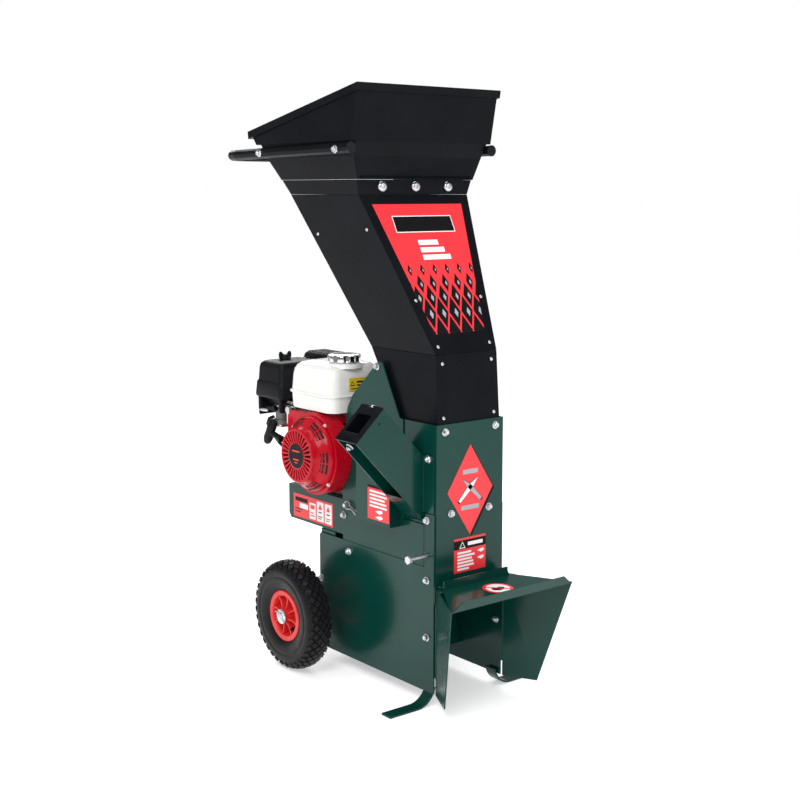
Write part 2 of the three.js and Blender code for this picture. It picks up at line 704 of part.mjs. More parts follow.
add("air_cleaner", "black_plastic", join(
  softBox(-136, 6, 541, 659, 619, 660, 12),
  softBox(-132, 2, 545, 655, 659, 704, 12),
  softBox(-125, -5, 552, 648, 703, 710, 12),
));
add("air_cleaner_knob", "black_plastic", join(
  rod([-72, 614, 710.4], [-72, 614, 719], 14, 16),
  box(-90, -54, 611, 617, 713, 730),
));
add("carburettor", "cast_alloy", join(
  box(-106, -62, 577, 636, 604, 618.6),
  rod([-84, 606, 560], [-84, 606, 606], 20, 16),
  rod([-84, 606, 545], [-84, 606, 562], 24, 16),
  rod([-84, 560, 590], [-84, 600, 590], 13, 12),
  box(-92, -53, 560, 584, 578, 600),
));
add("muffler", "steel", join(
  softBox(22, 72, 532, 644, 612, 700, 14),
  rod([63, 560, 592], [63, 560, 614], 9, 12),
  box(52.8, 74, 548, 572, 578, 596),
));
add("muffler_guard", "black_paint", cut(
  softBox(10, 84, 520, 662, 606, 722, 16),
  softBox(11.8, 82.2, 521.8, 660.2, 590, 720.2, 14.5),
));
add("spark_plug_cap", "black_plastic", barrel(join(
  rod([0, 190.4, 0], [0, 214, 0], 9, 12),
  rod([0, 206, 4], [0, 206, -26], 7, 10),
)));
add("throttle_lever", "zinc", join(
  rod([-120, 536, 596], [-112, 536, 596], 9, 12),
  box(-118, -115, 531, 541, 560, 598),
  box(-140, -115, 531, 541, 556, 562),
));
add("choke_lever", "black_plastic", join(
  rod([-116, 606, 590], [-104.6, 606, 590], 7, 12),
  box(-116, -112, 600, 640, 586, 594),
));
add("fuel_valve_lever", "black_plastic", join(
  rod([-116, 606, 552], [-108.6, 606, 552], 7, 12),
  box(-116, -112, 602, 632, 549, 555),
));
add("engine_switch", "red_plastic", join(
  rod([-110, 504.4, 540], [-110, 508, 540], 9, 12),
  box(-113.5, -106.5, 507, 514, 532, 548),
));
add("oil_dipstick", "black_plastic", join(
  rod([-30, 468.4, 440], [-30, 482, 440], 13, 12),
  box(-42, -18, 481, 488, 437, 443),
));

// The frame sits at the bottom centre of the whole machine.
group.updateMatrixWorld(true);
const bounds = new THREE.Box3().setFromObject(group, true);
const middle = bounds.getCenter(new THREE.Vector3());
group.position.set(-middle.x, -middle.y, -bounds.min.z);

export default group;
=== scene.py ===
"""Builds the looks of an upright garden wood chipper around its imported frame."""

import json
import math

import bmesh
import bpy
from bpy.props import FloatProperty, FloatVectorProperty, IntProperty, PointerProperty
from mathutils import Matrix, Vector

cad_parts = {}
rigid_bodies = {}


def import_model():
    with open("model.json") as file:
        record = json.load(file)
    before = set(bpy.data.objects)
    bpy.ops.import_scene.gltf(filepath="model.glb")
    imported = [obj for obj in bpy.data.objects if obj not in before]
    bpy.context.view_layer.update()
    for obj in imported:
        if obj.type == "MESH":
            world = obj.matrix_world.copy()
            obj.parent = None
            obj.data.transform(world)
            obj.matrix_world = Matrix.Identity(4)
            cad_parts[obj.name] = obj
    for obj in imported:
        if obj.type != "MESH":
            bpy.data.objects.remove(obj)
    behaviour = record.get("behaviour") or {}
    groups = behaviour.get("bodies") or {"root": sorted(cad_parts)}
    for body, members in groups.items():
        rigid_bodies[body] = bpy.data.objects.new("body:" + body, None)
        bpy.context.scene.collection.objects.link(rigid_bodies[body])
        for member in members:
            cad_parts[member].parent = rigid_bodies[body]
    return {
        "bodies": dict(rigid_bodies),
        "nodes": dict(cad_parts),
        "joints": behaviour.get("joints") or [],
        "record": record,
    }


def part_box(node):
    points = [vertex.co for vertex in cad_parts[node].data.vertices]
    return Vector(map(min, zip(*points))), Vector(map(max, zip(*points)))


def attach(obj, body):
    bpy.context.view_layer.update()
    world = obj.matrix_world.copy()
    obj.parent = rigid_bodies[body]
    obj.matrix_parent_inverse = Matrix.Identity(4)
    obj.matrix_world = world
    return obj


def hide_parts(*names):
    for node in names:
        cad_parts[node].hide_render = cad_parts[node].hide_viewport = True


bl_info = {
    "name": "Wood Chipper Looks",
    "version": (1, 0, 0),
    "blender": (4, 5, 0),
    "location": "3D View > Sidebar > Chipper",
    "description": "Builds wheels, engine covers, fasteners, decals and finishes on the packed wood chipper",
    "category": "Object",
}

STATE = {}
MM = 0.001
SIDES = (("left", -1), ("right", 1))
RIGHT, FRONT, BACK, UP = (1, 0, 0), (0, -1, 0), (0, 1, 0), (0, 0, 1)
TIP_RADIUS = 0.00002

# Machine measures in millimetres, and the slope of the funnel's front.
WHEEL_X, AXLE_Y, AXLE_Z = 196, 409, 130
HUB_END_X = 229
CRANK_Y, CRANK_Z = 396, 513
HOUSING_DEPTH = 125
FUNNEL_TILT = Vector((0.0, 0.4679, 0.8838))

# Printed labels, in metres.
LABEL_LIFT = 0.0003
LAYER_STEP = 0.00012
PRINT_THICKNESS = 0.00010

# Stage light and camera.
FLOOR_GLOW = 0.44
WORLD_LIGHT, WORLD_SEEN, WORLD_GLOSSY_DROP = 0.75, 1.0, 0.5
CAMERA_PLACE = (-1913.9, -2140.3, 1124.0)
CAMERA_YAW, CAMERA_PITCH = 0.676, 0.135
CAMERA_LENS, CAMERA_SENSOR, CAMERA_SHIFT = 60.03, 36.0, -0.0341


# ------------------------------------------------------------------ settings
class ChipperWheelSettings(bpy.types.PropertyGroup):
    tread_blocks: IntProperty(
        name="Tread Blocks", description="Blocks in each ring of tread", default=36, min=12, max=80
    )
    rim_ribs: IntProperty(
        name="Rim Ribs", description="Ribs on each wheel rim", default=8, min=3, max=16
    )
    tread_depth: FloatProperty(
        name="Tread Depth", description="Height of a tread block", default=0.0040, unit="LENGTH"
    )


class ChipperEngineSettings(bpy.types.PropertyGroup):
    face_slots: IntProperty(
        name="Face Slots", description="Air slots round the starter badge", default=30, min=8, max=60
    )
    side_groups: IntProperty(
        name="Side Groups", description="Groups of vents on the flared skirt", default=6, min=3, max=12
    )
    cap_scallops: IntProperty(
        name="Cap Scallops", description="Grip lobes on the fuel cap", default=9, min=6, max=20
    )


class ChipperFastenerSettings(bpy.types.PropertyGroup):
    bolt_radius: FloatProperty(
        name="Bolt Radius", description="Across-corners radius of a hex head", default=0.0066, unit="LENGTH"
    )
    rivet_radius: FloatProperty(
        name="Rivet Radius", description="Radius of a small domed screw", default=0.0042, unit="LENGTH"
    )
    seed: IntProperty(name="Seed", description="Seed for the turn of each head", default=7)


class ChipperFinishSettings(bpy.types.PropertyGroup):
    green: FloatVectorProperty(
        name="Green", description="Powder coat of the housing", default=(0.0008, 0.038, 0.029), subtype="COLOR"
    )
    black: FloatVectorProperty(
        name="Black", description="Powder coat of the hopper", default=(0.0040, 0.0045, 0.0065), subtype="COLOR"
    )
    red: FloatVectorProperty(
        name="Red", description="Engine enamel", default=(0.44, 0.002, 0.012), subtype="COLOR"
    )
    edge_bevel: FloatProperty(
        name="Edge Bevel", description="Rounding on sheet edges", default=0.0006, unit="LENGTH"
    )


# ------------------------------------------------------------------ materials
def node(tree, kind, **values):
    made = tree.nodes.new(kind)
    for key, value in values.items():
        setattr(made, key, value)
    return made


def noise(tree, coords, scale, detail, stretch=(1.0, 1.0, 1.0)):
    mapping = node(tree, "ShaderNodeMapping")
    mapping.inputs["Scale"].default_value = stretch
    made = node(tree, "ShaderNodeTexNoise")
    made.inputs["Scale"].default_value = scale
    made.inputs["Detail"].default_value = detail
    tree.links.new(coords, mapping.inputs["Vector"])
    tree.links.new(mapping.outputs["Vector"], made.inputs["Vector"])
    return made.outputs["Fac"]


def remap(tree, value, low, high, to_low, to_high):
    made = node(tree, "ShaderNodeMapRange")
    for key, number in (("From Min", low), ("From Max", high), ("To Min", to_low), ("To Max", to_high)):
        made.inputs[key].default_value = number
    tree.links.new(value, made.inputs["Value"])
    return made.outputs["Result"]


def maths(tree, operation, a, b):
    made = node(tree, "ShaderNodeMath", operation=operation)
    for socket, value in zip(made.inputs, (a, b)):
        if isinstance(value, (int, float)):
            socket.default_value = value
        else:
            tree.links.new(value, socket)
    return made.outputs[0]


def blend_colour(tree, factor, a, b):
    made = node(tree, "ShaderNodeMix", data_type="RGBA")
    tree.links.new(factor, made.inputs["Factor"])
    for socket, value in ((made.inputs["A"], a), (made.inputs["B"], b)):
        if isinstance(value, tuple):
            socket.default_value = value
        else:
            tree.links.new(value, socket)
    return made.outputs["Result"]


def finish_material(name, colour, rough, metallic, grain, shade, dust=0.0, coat=0.0, scratch=0.05,
                    stretch=(1.0, 1.0, 1.0), shine=0.5):
    """Finish with colour drift, uneven gloss, fine grain, rub marks and, where asked, dust near the ground."""
    made = bpy.data.materials.new(name)
    made.use_nodes = True
    tree = made.node_tree
    shader = tree.nodes["Principled BSDF"]
    coords = node(tree, "ShaderNodeTexCoord").outputs["Object"]
    dark = (*[c * (1.0 - shade) for c in colour], 1.0)
    light = (*[min(1.0, c * (1.0 + shade) + 0.001) for c in colour], 1.0)
    drift = remap(tree, noise(tree, coords, 7.0, 4.0), 0.3, 0.7, 0.0, 1.0)
    tint = blend_colour(tree, drift, dark, light)
    gloss = remap(tree, noise(tree, coords, 38.0, 5.0), 0.3, 0.7, rough[0], rough[1])
    rub = noise(tree, coords, 60.0, 2.0, (0.35, 1.0, 9.0))
    marks = remap(tree, rub, 0.62, 0.72, 0.0, scratch)
    gloss = maths(tree, "ADD", gloss, marks)
    if dust > 0.0:
        parts = node(tree, "ShaderNodeSeparateXYZ")
        tree.links.new(coords, parts.inputs["Vector"])
        low = remap(tree, parts.outputs["Z"], 0.0, 0.30, 1.0, 0.0)
        specks = remap(tree, noise(tree, coords, 90.0, 6.0), 0.45, 0.75, 0.0, 1.0)
        film = maths(tree, "MULTIPLY", maths(tree, "MULTIPLY", low, specks), dust)
        tint = blend_colour(tree, film, tint, (0.16, 0.14, 0.11, 1.0))
        gloss = maths(tree, "ADD", gloss, film)
    bump = node(tree, "ShaderNodeBump")
    bump.inputs["Strength"].default_value = grain[1]
    bump.inputs["Distance"].default_value = 0.0006
    tree.links.new(noise(tree, coords, grain[0], 3.0, stretch), bump.inputs["Height"])
    tree.links.new(bump.outputs["Normal"], shader.inputs["Normal"])
    tree.links.new(tint, shader.inputs["Base Color"])
    tree.links.new(gloss, shader.inputs["Roughness"])
    shader.inputs["Metallic"].default_value = metallic
    shader.inputs["Specular IOR Level"].default_value = shine
    if coat > 0.0:
        shader.inputs["Coat Weight"].default_value = coat
        shader.inputs["Coat Roughness"].default_value = 0.08
    return made


def make_materials(scene):
    looks = scene.chipper_finish
    make = finish_material
    STATE["mats"] = {
        "green_paint": make("powder_green", tuple(looks.green), (0.16, 0.22), 0.0, (620.0, 0.05), 0.10, 0.0, 0.06,
                            shine=0.24),
        "black_paint": make("powder_black", tuple(looks.black), (0.26, 0.36), 0.0, (1500.0, 0.16), 0.16, 0.0,
                            shine=0.07),
        "engine_red": make("enamel_red", tuple(looks.red), (0.20, 0.28), 0.0, (300.0, 0.04), 0.10, 0.0, 0.1,
                           shine=0.16),
        "engine_white": make("enamel_white", (0.80, 0.79, 0.76), (0.24, 0.31), 0.0, (240.0, 0.04), 0.03, 0.0, 0.4),
        "red_plastic": make("moulded_red", (0.62, 0.016, 0.016), (0.34, 0.44), 0.0, (900.0, 0.08), 0.08, 0.06),
        "black_plastic": make("moulded_black", (0.0065, 0.007, 0.009), (0.32, 0.44), 0.0, (1700.0, 0.22), 0.15,
                              shine=0.13),
        "tyre": make("tyre_rubber", (0.0075, 0.0075, 0.009), (0.34, 0.48), 0.0, (700.0, 0.2), 0.25, 0.03, shine=0.16),
        "zinc": make("zinc_plate", (0.62, 0.64, 0.66), (0.24, 0.40), 1.0, (500.0, 0.10), 0.12, 0.0, 0.0, 0.12),
        "steel": make("machined_steel", (0.48, 0.49, 0.50), (0.26, 0.38), 1.0, (300.0, 0.18), 0.10, 0.0, 0.0,
                      0.10, (18.0, 1.0, 1.0)),
        # Cast alloy colour is partly the alloy's own grey and partly painted shade: it is darkened from bright silver
        # so the carburettor reads as sitting in shadow, and the same darkened colour also serves the bearings, pulleys
        # and engine block.
        "cast_alloy": make("cast_alloy", (0.22, 0.22, 0.215), (0.48, 0.62), 0.85, (900.0, 0.45), 0.18),
        "chrome": make("bright_chrome", (0.80, 0.81, 0.83), (0.05, 0.14), 1.0, (90.0, 0.02), 0.03),
        "belt_rubber": make("belt_fabric", (0.016, 0.016, 0.017), (0.70, 0.85), 0.0, (1200.0, 0.5), 0.2),
        "void": make("shadow_black", (0.003, 0.003, 0.003), (0.75, 0.9), 0.0, (200.0, 0.2), 0.3),
        "print_red": make("print_red", (0.78, 0.022, 0.032), (0.30, 0.38), 0.0, (300.0, 0.03), 0.04),
        "print_white": make("print_white", (0.82, 0.82, 0.81), (0.32, 0.40), 0.0, (300.0, 0.03), 0.03),
        "print_black": make("print_black", (0.006, 0.006, 0.007), (0.32, 0.40), 0.0, (300.0, 0.03), 0.10, shine=0.1),
        "print_grey": make("print_grey", (0.33, 0.34, 0.36), (0.30, 0.40), 0.0, (300.0, 0.03), 0.06),
        "print_yellow": make("print_yellow", (0.78, 0.56, 0.02), (0.30, 0.40), 0.0, (300.0, 0.03), 0.05),
    }


# ------------------------------------------------------------------ mesh helpers
def at(x, y, z):
    """Point in the row frame, from machine millimetres measured at the housing's front face."""
    ox, oy = STATE["origin"]
    return Vector((ox + x * MM, oy + y * MM, z * MM))


def add_object(name, data):
    made = bpy.data.objects.new(name, data)
    bpy.context.scene.collection.objects.link(made)
    return made


def baked_mesh(name, bm):
    mesh = bpy.data.meshes.new(name)
    bm.to_mesh(mesh)
    bm.free()
    return mesh


def publish(name, mesh, slots, body, replaced=(), angle=32.0):
    """Makes the shown piece from a finished mesh and ties it to its body."""
    for key in slots:
        mesh.materials.append(STATE["mats"][key])
    mesh.polygons.foreach_set("use_smooth", [True] * len(mesh.polygons))
    mesh.set_sharp_from_angle(angle=math.radians(angle))
    piece = add_object(name, mesh)
    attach(piece, body)
    if replaced:
        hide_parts(*replaced)


def publish_bmesh(name, bm, slots, body, replaced=(), angle=32.0, bevel=0.0):
    bmesh.ops.remove_doubles(bm, verts=bm.verts, dist=1e-6)
    bmesh.ops.recalc_face_normals(bm, faces=bm.faces)
    if bevel > 0.0:
        sharp = [e for e in bm.edges if len(e.link_faces) == 2 and e.calc_face_angle() > 0.5]
        bmesh.ops.bevel(bm, geom=sharp, offset=bevel, segments=2, affect="EDGES", clamp_overlap=True)
    publish(name, baked_mesh(name, bm), slots, body, replaced, angle)


def loft(bm, loops, cap=(True, True), index=0):
    """Skin over loops of equal length, each a closed ring of points."""
    rings = [[bm.verts.new(p) for p in loop] for loop in loops]
    faces = []
    for lower, upper in zip(rings, rings[1:]):
        count = len(lower)
        for i in range(count):
            j = (i + 1) % count
            faces.append(bm.faces.new((lower[i], lower[j], upper[j], upper[i])))
    if cap[0]:
        faces.append(bm.faces.new(list(reversed(rings[0]))))
    if cap[1]:
        faces.append(bm.faces.new(rings[-1]))
    for face in faces:
        face.material_index = index


def turns(count):
    return [2 * math.pi * i / count for i in range(count)]


def spoke(turn):
    """Unit vector square to the X axis, at a turn about it."""
    return Vector((0.0, math.cos(turn), math.sin(turn)))


def facing(axis):
    return Vector(axis).normalized().to_track_quat("Z", "Y").to_matrix()


def circle(radius, height, centre, turn, sides, scale=1.0):
    """Ring of points round the turned Z axis through a centre."""
    return [centre + turn @ Vector((radius * math.cos(a), radius * math.sin(a), height)) * scale
            for a in turns(sides)]


def turned(bm, profile, centre, axis, sides):
    """Revolves (radius, height) pairs in metres about an axis and closes both ends."""
    turn = facing(axis)
    loft(bm, [circle(max(radius, TIP_RADIUS), height, centre, turn, sides) for radius, height in profile])


def turned_ring(bm, profile, centre, axis, sides):
    """Revolves a closed profile in millimetres into a ring with no end caps."""
    turn = facing(axis)
    loops = [circle(radius, height, centre, turn, sides, MM) for radius, height in profile + profile[:1]]
    loft(bm, loops, (False, False))


def round_rect(x0, x1, y0, y1, radius, z, corner):
    """Level rounded rectangle in machine millimetres, with corner + 1 points on each corner."""
    points = []
    corners = ((x1 - radius, y0 + radius, -90), (x1 - radius, y1 - radius, 0),
               (x0 + radius, y1 - radius, 90), (x0 + radius, y0 + radius, 180))
    for cx, cy, start in corners:
        for i in range(corner + 1):
            a = math.radians(start + 90 * i / corner)
            points.append(at(cx + radius * math.cos(a), cy + radius * math.sin(a), z))
    return points


def split_line(points):
    """The same line with three more points on every stretch."""
    return [a.lerp(b, t / 4) for a, b in zip(points, points[1:]) for t in range(4)] + [points[-1]]


def sweep(bm, points, radius, sides):
    """Round bar along a line of points."""
    loops = []
    up = Vector((0.13, 0.21, 0.97)).normalized()
    for i, p in enumerate(points):
        way = (points[min(i + 1, len(points) - 1)] - points[max(i - 1, 0)]).normalized()
        side = way.cross(up).normalized()
        up = side.cross(way).normalized()
        loops.append([
            p + side * (radius * math.cos(a)) + up * (radius * math.sin(a))
            for a in turns(sides)
        ])
    loft(bm, loops)


def barrel(bm, stations, sides, squash=1.0):
    """Skin over round sections, each a (centre, radius in millimetres) pair on one straight line."""
    turn = aim(stations[-1][0] - stations[0][0], RIGHT)
    loft(bm, [[p + turn @ Vector((r * squash * math.cos(a), r * math.sin(a), 0)) * MM for a in turns(sides)]
              for p, r in stations])


def slab(bm, points, lift, normal, index=0):
    """Thin plate with the given outline, raised from its surface by lift."""
    offset = normal * lift
    loft(bm, [[p - normal * 0.0001 for p in points], [p + offset for p in points]], index=index)


def aim(z_axis, x_hint=UP):
    """Rotation that turns Z to z_axis and X as near to x_hint as it can."""
    z = Vector(z_axis).normalized()
    x = Vector(x_hint) - z * Vector(x_hint).dot(z)
    if x.length < 1e-4:
        x = Vector((1.0, 0.0, 0.0)) - z * z.x
    x.normalize()
    return Matrix((x, z.cross(x), z)).transposed()


# ------------------------------------------------------------------ geometry nodes repeats
def repeat_tree():
    """Node group that puts one source shape on every point, turned and sized by the point's attributes."""
    if "Place Repeats" in bpy.data.node_groups:
        return bpy.data.node_groups["Place Repeats"]
    tree = bpy.data.node_groups.new("Place Repeats", "GeometryNodeTree")
    face = tree.interface
    face.new_socket(name="Geometry", in_out="INPUT", socket_type="NodeSocketGeometry")
    face.new_socket(name="Source", in_out="INPUT", socket_type="NodeSocketObject")
    face.new_socket(name="Material", in_out="INPUT", socket_type="NodeSocketMaterial")
    face.new_socket(name="Spin Variation", in_out="INPUT", socket_type="NodeSocketFloat")
    face.new_socket(name="Seed", in_out="INPUT", socket_type="NodeSocketInt")
    face.new_socket(name="Geometry", in_out="OUTPUT", socket_type="NodeSocketGeometry")
    source = node(tree, "NodeGroupInput")
    result = node(tree, "NodeGroupOutput")
    info = node(tree, "GeometryNodeObjectInfo")
    turn = node(tree, "GeometryNodeInputNamedAttribute", data_type="FLOAT_VECTOR")
    turn.inputs["Name"].default_value = "turn"
    size = node(tree, "GeometryNodeInputNamedAttribute", data_type="FLOAT_VECTOR")
    size.inputs["Name"].default_value = "size"
    euler = node(tree, "FunctionNodeEulerToRotation")
    spin = node(tree, "FunctionNodeRandomValue", data_type="FLOAT")
    local = node(tree, "FunctionNodeAxisAngleToRotation")
    local.inputs["Axis"].default_value = (0.0, 0.0, 1.0)
    rotate = node(tree, "FunctionNodeRotateRotation", rotation_space="LOCAL")
    place = node(tree, "GeometryNodeInstanceOnPoints")
    realize = node(tree, "GeometryNodeRealizeInstances")
    paint = node(tree, "GeometryNodeSetMaterial")
    join = tree.links.new
    join(source.outputs["Source"], info.inputs["Object"])
    join(turn.outputs["Attribute"], euler.inputs[0])
    floats = [s for s in spin.inputs if s.type == "VALUE"]
    join(source.outputs["Spin Variation"], floats[1])
    floats[0].default_value = 0.0
    join(source.outputs["Seed"], spin.inputs["Seed"])
    spun = [s for s in spin.outputs if s.type == "VALUE"][0]
    join(spun, local.inputs["Angle"])
    join(euler.outputs[0], rotate.inputs["Rotation"])
    join(local.outputs[0], rotate.inputs["Rotate By"])
    join(source.outputs["Geometry"], place.inputs["Points"])
    join(info.outputs["Geometry"], place.inputs["Instance"])
    join(rotate.outputs[0], place.inputs["Rotation"])
    join(size.outputs["Attribute"], place.inputs["Scale"])
    join(place.outputs["Instances"], realize.inputs["Geometry"])
    join(realize.outputs["Geometry"], paint.inputs["Geometry"])
    join(source.outputs["Material"], paint.inputs["Material"])
    join(paint.outputs["Geometry"], result.inputs["Geometry"])
    return tree


def repeats(name, shape, rows, look, body, spin=0.0, seed=1):
    """Realized copies of a bmesh shape at rows of (place, 3x3 turn, size)."""
    bmesh.ops.recalc_face_normals(shape, faces=shape.faces)
    source = add_object(name + "_source", baked_mesh(name + "_source", shape))
    points_mesh = bpy.data.meshes.new(name + "_points")
    points_mesh.from_pydata([tuple(p) for p, _, _ in rows], [], [])
    turns = points_mesh.attributes.new("turn", "FLOAT_VECTOR", "POINT")
    sizes = points_mesh.attributes.new("size", "FLOAT_VECTOR", "POINT")
    for i, (_, turn, size) in enumerate(rows):
        turns.data[i].vector = turn.to_euler("XYZ")
        sizes.data[i].vector = size
    points = add_object(name + "_points", points_mesh)
    modifier = points.modifiers.new("Repeats", "NODES")
    tree = repeat_tree()
    modifier.node_group = tree
    names = {s.name: s.identifier for s in tree.interface.items_tree if s.in_out == "INPUT"}
    modifier[names["Source"]] = source
    modifier[names["Material"]] = STATE["mats"][look]
    modifier[names["Spin Variation"]] = spin
    modifier[names["Seed"]] = seed
    graph = bpy.context.evaluated_depsgraph_get()
    mesh = bpy.data.meshes.new_from_object(points.evaluated_get(graph))
    for thing in (points, source):
        bpy.data.objects.remove(thing)
    mesh.name = name
    mesh.materials.clear()
    publish(name, mesh, [look], body)


def hex_head(bm):
    """Shape of a flanged hex head, one unit in flange radius."""
    turned(bm, [(0.0, 0.0), (1.0, 0.0), (1.0, 0.12), (0.86, 0.22), (0.0, 0.24)], Vector(), UP, 20)
    turned(bm, [(0.0, 0.15), (0.72, 0.15), (0.72, 0.72), (0.63, 0.84), (0.0, 0.84)], Vector(), UP, 6)
    turned(bm, [(0.0, 0.5), (0.34, 0.5), (0.34, 1.0), (0.28, 1.08), (0.0, 1.08)], Vector(), UP, 12)
    return bm


def dome_screw(bm):
    """Shape of a domed screw with a shallow dimple, one unit in radius."""
    profile = [(0.0, 0.0), (1.0, 0.0), (1.0, 0.16), (0.92, 0.36), (0.72, 0.55), (0.40, 0.66), (0.26, 0.64),
               (0.2, 0.45), (0.0, 0.42)]
    turned(bm, profile, Vector(), UP, 20)
    return bm


# ------------------------------------------------------------------ CAD node looks
def dress_frame(scene):
    record = STATE["frame"]["record"]
    slots = {part["node"]: part["material_slot"] for part in record["subparts"]}
    bevel = scene.chipper_finish.edge_bevel
    for name, thing in STATE["frame"]["nodes"].items():
        look = STATE["mats"][slots[name]]
        if not thing.material_slots:
            thing.data.materials.append(look)
        for holder in thing.material_slots:
            holder.link = "OBJECT"
            holder.material = look
        weld = thing.modifiers.new("Weld", "WELD")
        weld.merge_threshold = 0.00002
        edge = thing.modifiers.new("Edge", "BEVEL")
        edge.width = bevel
        edge.segments = 2
        edge.limit_method = "ANGLE"
        edge.angle_limit = math.radians(38)


# ------------------------------------------------------------------ wheels
def build_wheels(scene):
    looks = scene.chipper_wheels
    count = looks.tread_blocks
    depth = looks.tread_depth
    half = [(61, 22), (66, 26), (74, 29), (84, 31.2), (90, 31.7), (93, 30.6), (96, 31.8), (104, 31.6), (112, 29.4),
            (118, 25.4), (122.4, 19), (125.2, 10), (126.2, 0)]
    profile = [(r, -h) for r, h in half] + list(reversed(half[:-1]))
    for side, sign in SIDES:
        centre = at(sign * WHEEL_X, AXLE_Y, AXLE_Z)
        body = side + "_wheel"
        bm = bmesh.new()
        turned_ring(bm, profile, centre, RIGHT, 96)
        publish_bmesh(f"{side}_tyre_body", bm, ["tyre"], body, [f"{side}_tyre"], 28.0)
        block = bmesh.new()
        lobes = [Vector((0.5, 0, 0)), Vector((0, 0.5, 0)), Vector((-0.5, 0, 0)), Vector((0, -0.5, 0))]
        loft(block, [[p * shrink + Vector((0, 0, rise)) for p in lobes]
                     for shrink, rise in ((1, 0), (0.96, 0.6), (0.8, 1))])
        rows = []
        for ring, (offset, radius, lean, wide, long) in enumerate((
            (0, 126.2, 0.0, 16.6, 20.0), (8.9, 125.4, 0.14, 16.6, 20.0), (-8.9, 125.4, -0.14, 16.6, 20.0),
            (17.6, 122.8, 0.42, 17.0, 19.6), (-17.6, 122.8, -0.42, 17.0, 19.6),
            (25.2, 117.6, 0.95, 17.0, 15.0), (-25.2, 117.6, -0.95, 17.0, 15.0),
        )):
            for i in range(count):
                turn = 2 * math.pi * (i + 0.5 * ((ring + 1) // 2 % 2)) / count
                out = spoke(turn)
                way = out * math.cos(lean) + Vector((math.sin(lean), 0, 0))
                place = centre + (out * radius + Vector((offset, 0, 0))) * MM - way * 0.0005
                rows.append((place, aim(way, RIGHT), (wide * MM, long * MM, depth)))
        repeats(f"{side}_tyre_tread", block, rows, "tyre", body)
        build_rim(side, sign, centre, looks.rim_ribs)


def build_rim(side, sign, centre, ribs):
    body = side + "_wheel"
    bm = bmesh.new()
    half = [(8.4, 29), (17, 29), (18.5, 10), (45, 8), (47, 21), (49, 24.6), (58.5, 25.6), (60.8, 24)]
    profile = [(r, -h) for r, h in half] + list(reversed(half))
    turned_ring(bm, profile, centre, RIGHT, 72)
    publish_bmesh(f"{side}_rim_body", bm, ["red_plastic"], body, [f"{side}_wheel_rim"], 26.0)
    rib = bmesh.new()
    outline = [(16, 0), (47, 0), (47, 14.5), (38, 12.5), (24, 13.5), (16, 18)]
    loft(rib, [[Vector((y, h, x)) * MM for x, h in outline] for y in (-1.6, 1.6)])
    rows = []
    for edge in (-1, 1):
        for i in range(ribs):
            out = spoke(2 * math.pi * (i + 0.3) / ribs)
            face = Vector((edge, 0, 0))
            rows.append((centre + face * 0.008, Matrix((face.cross(out), face, out)).transposed(), (1.0, 1.0, 1.0)))
    repeats(f"{side}_rim_ribs", rib, rows, "red_plastic", body)
    bm = bmesh.new()
    nub = [(0.0, 0.0), (0.0028, 0.0), (0.0030, 0.009), (0.0020, 0.011), (0.0018, 0.016), (0.0, 0.0165)]
    turned(bm, nub, centre + Vector((sign * 0.009, -0.024, -0.026)), (sign, -0.1, -0.1), 12)
    publish_bmesh(f"{side}_valve_stem", bm, ["black_plastic"], body)


def build_hub_retainer():
    bm = bmesh.new()
    outer = at(-HUB_END_X, AXLE_Y, AXLE_Z)
    out = (-1, 0, 0)
    turned(bm, [(0.0, 0.0), (0.0165, 0.0), (0.0175, 0.0006), (0.0165, 0.0012), (0.0, 0.0013)], outer, out, 32)
    turned(bm, [(0.0, 0.0), (0.0095, 0.0), (0.0095, 0.0028), (0.008, 0.0036), (0.0, 0.0036)], outer, out, 24)
    pin = [outer + Vector((-0.0032, y, z)) for y, z in
           ((-0.016, -0.010), (-0.010, -0.006), (0.0, 0.0), (0.010, 0.006), (0.015, 0.0105), (0.019, 0.008))]
    sweep(bm, pin, 0.0013, 8)
    publish_bmesh("left_hub_retainer", bm, ["zinc"], "chassis")


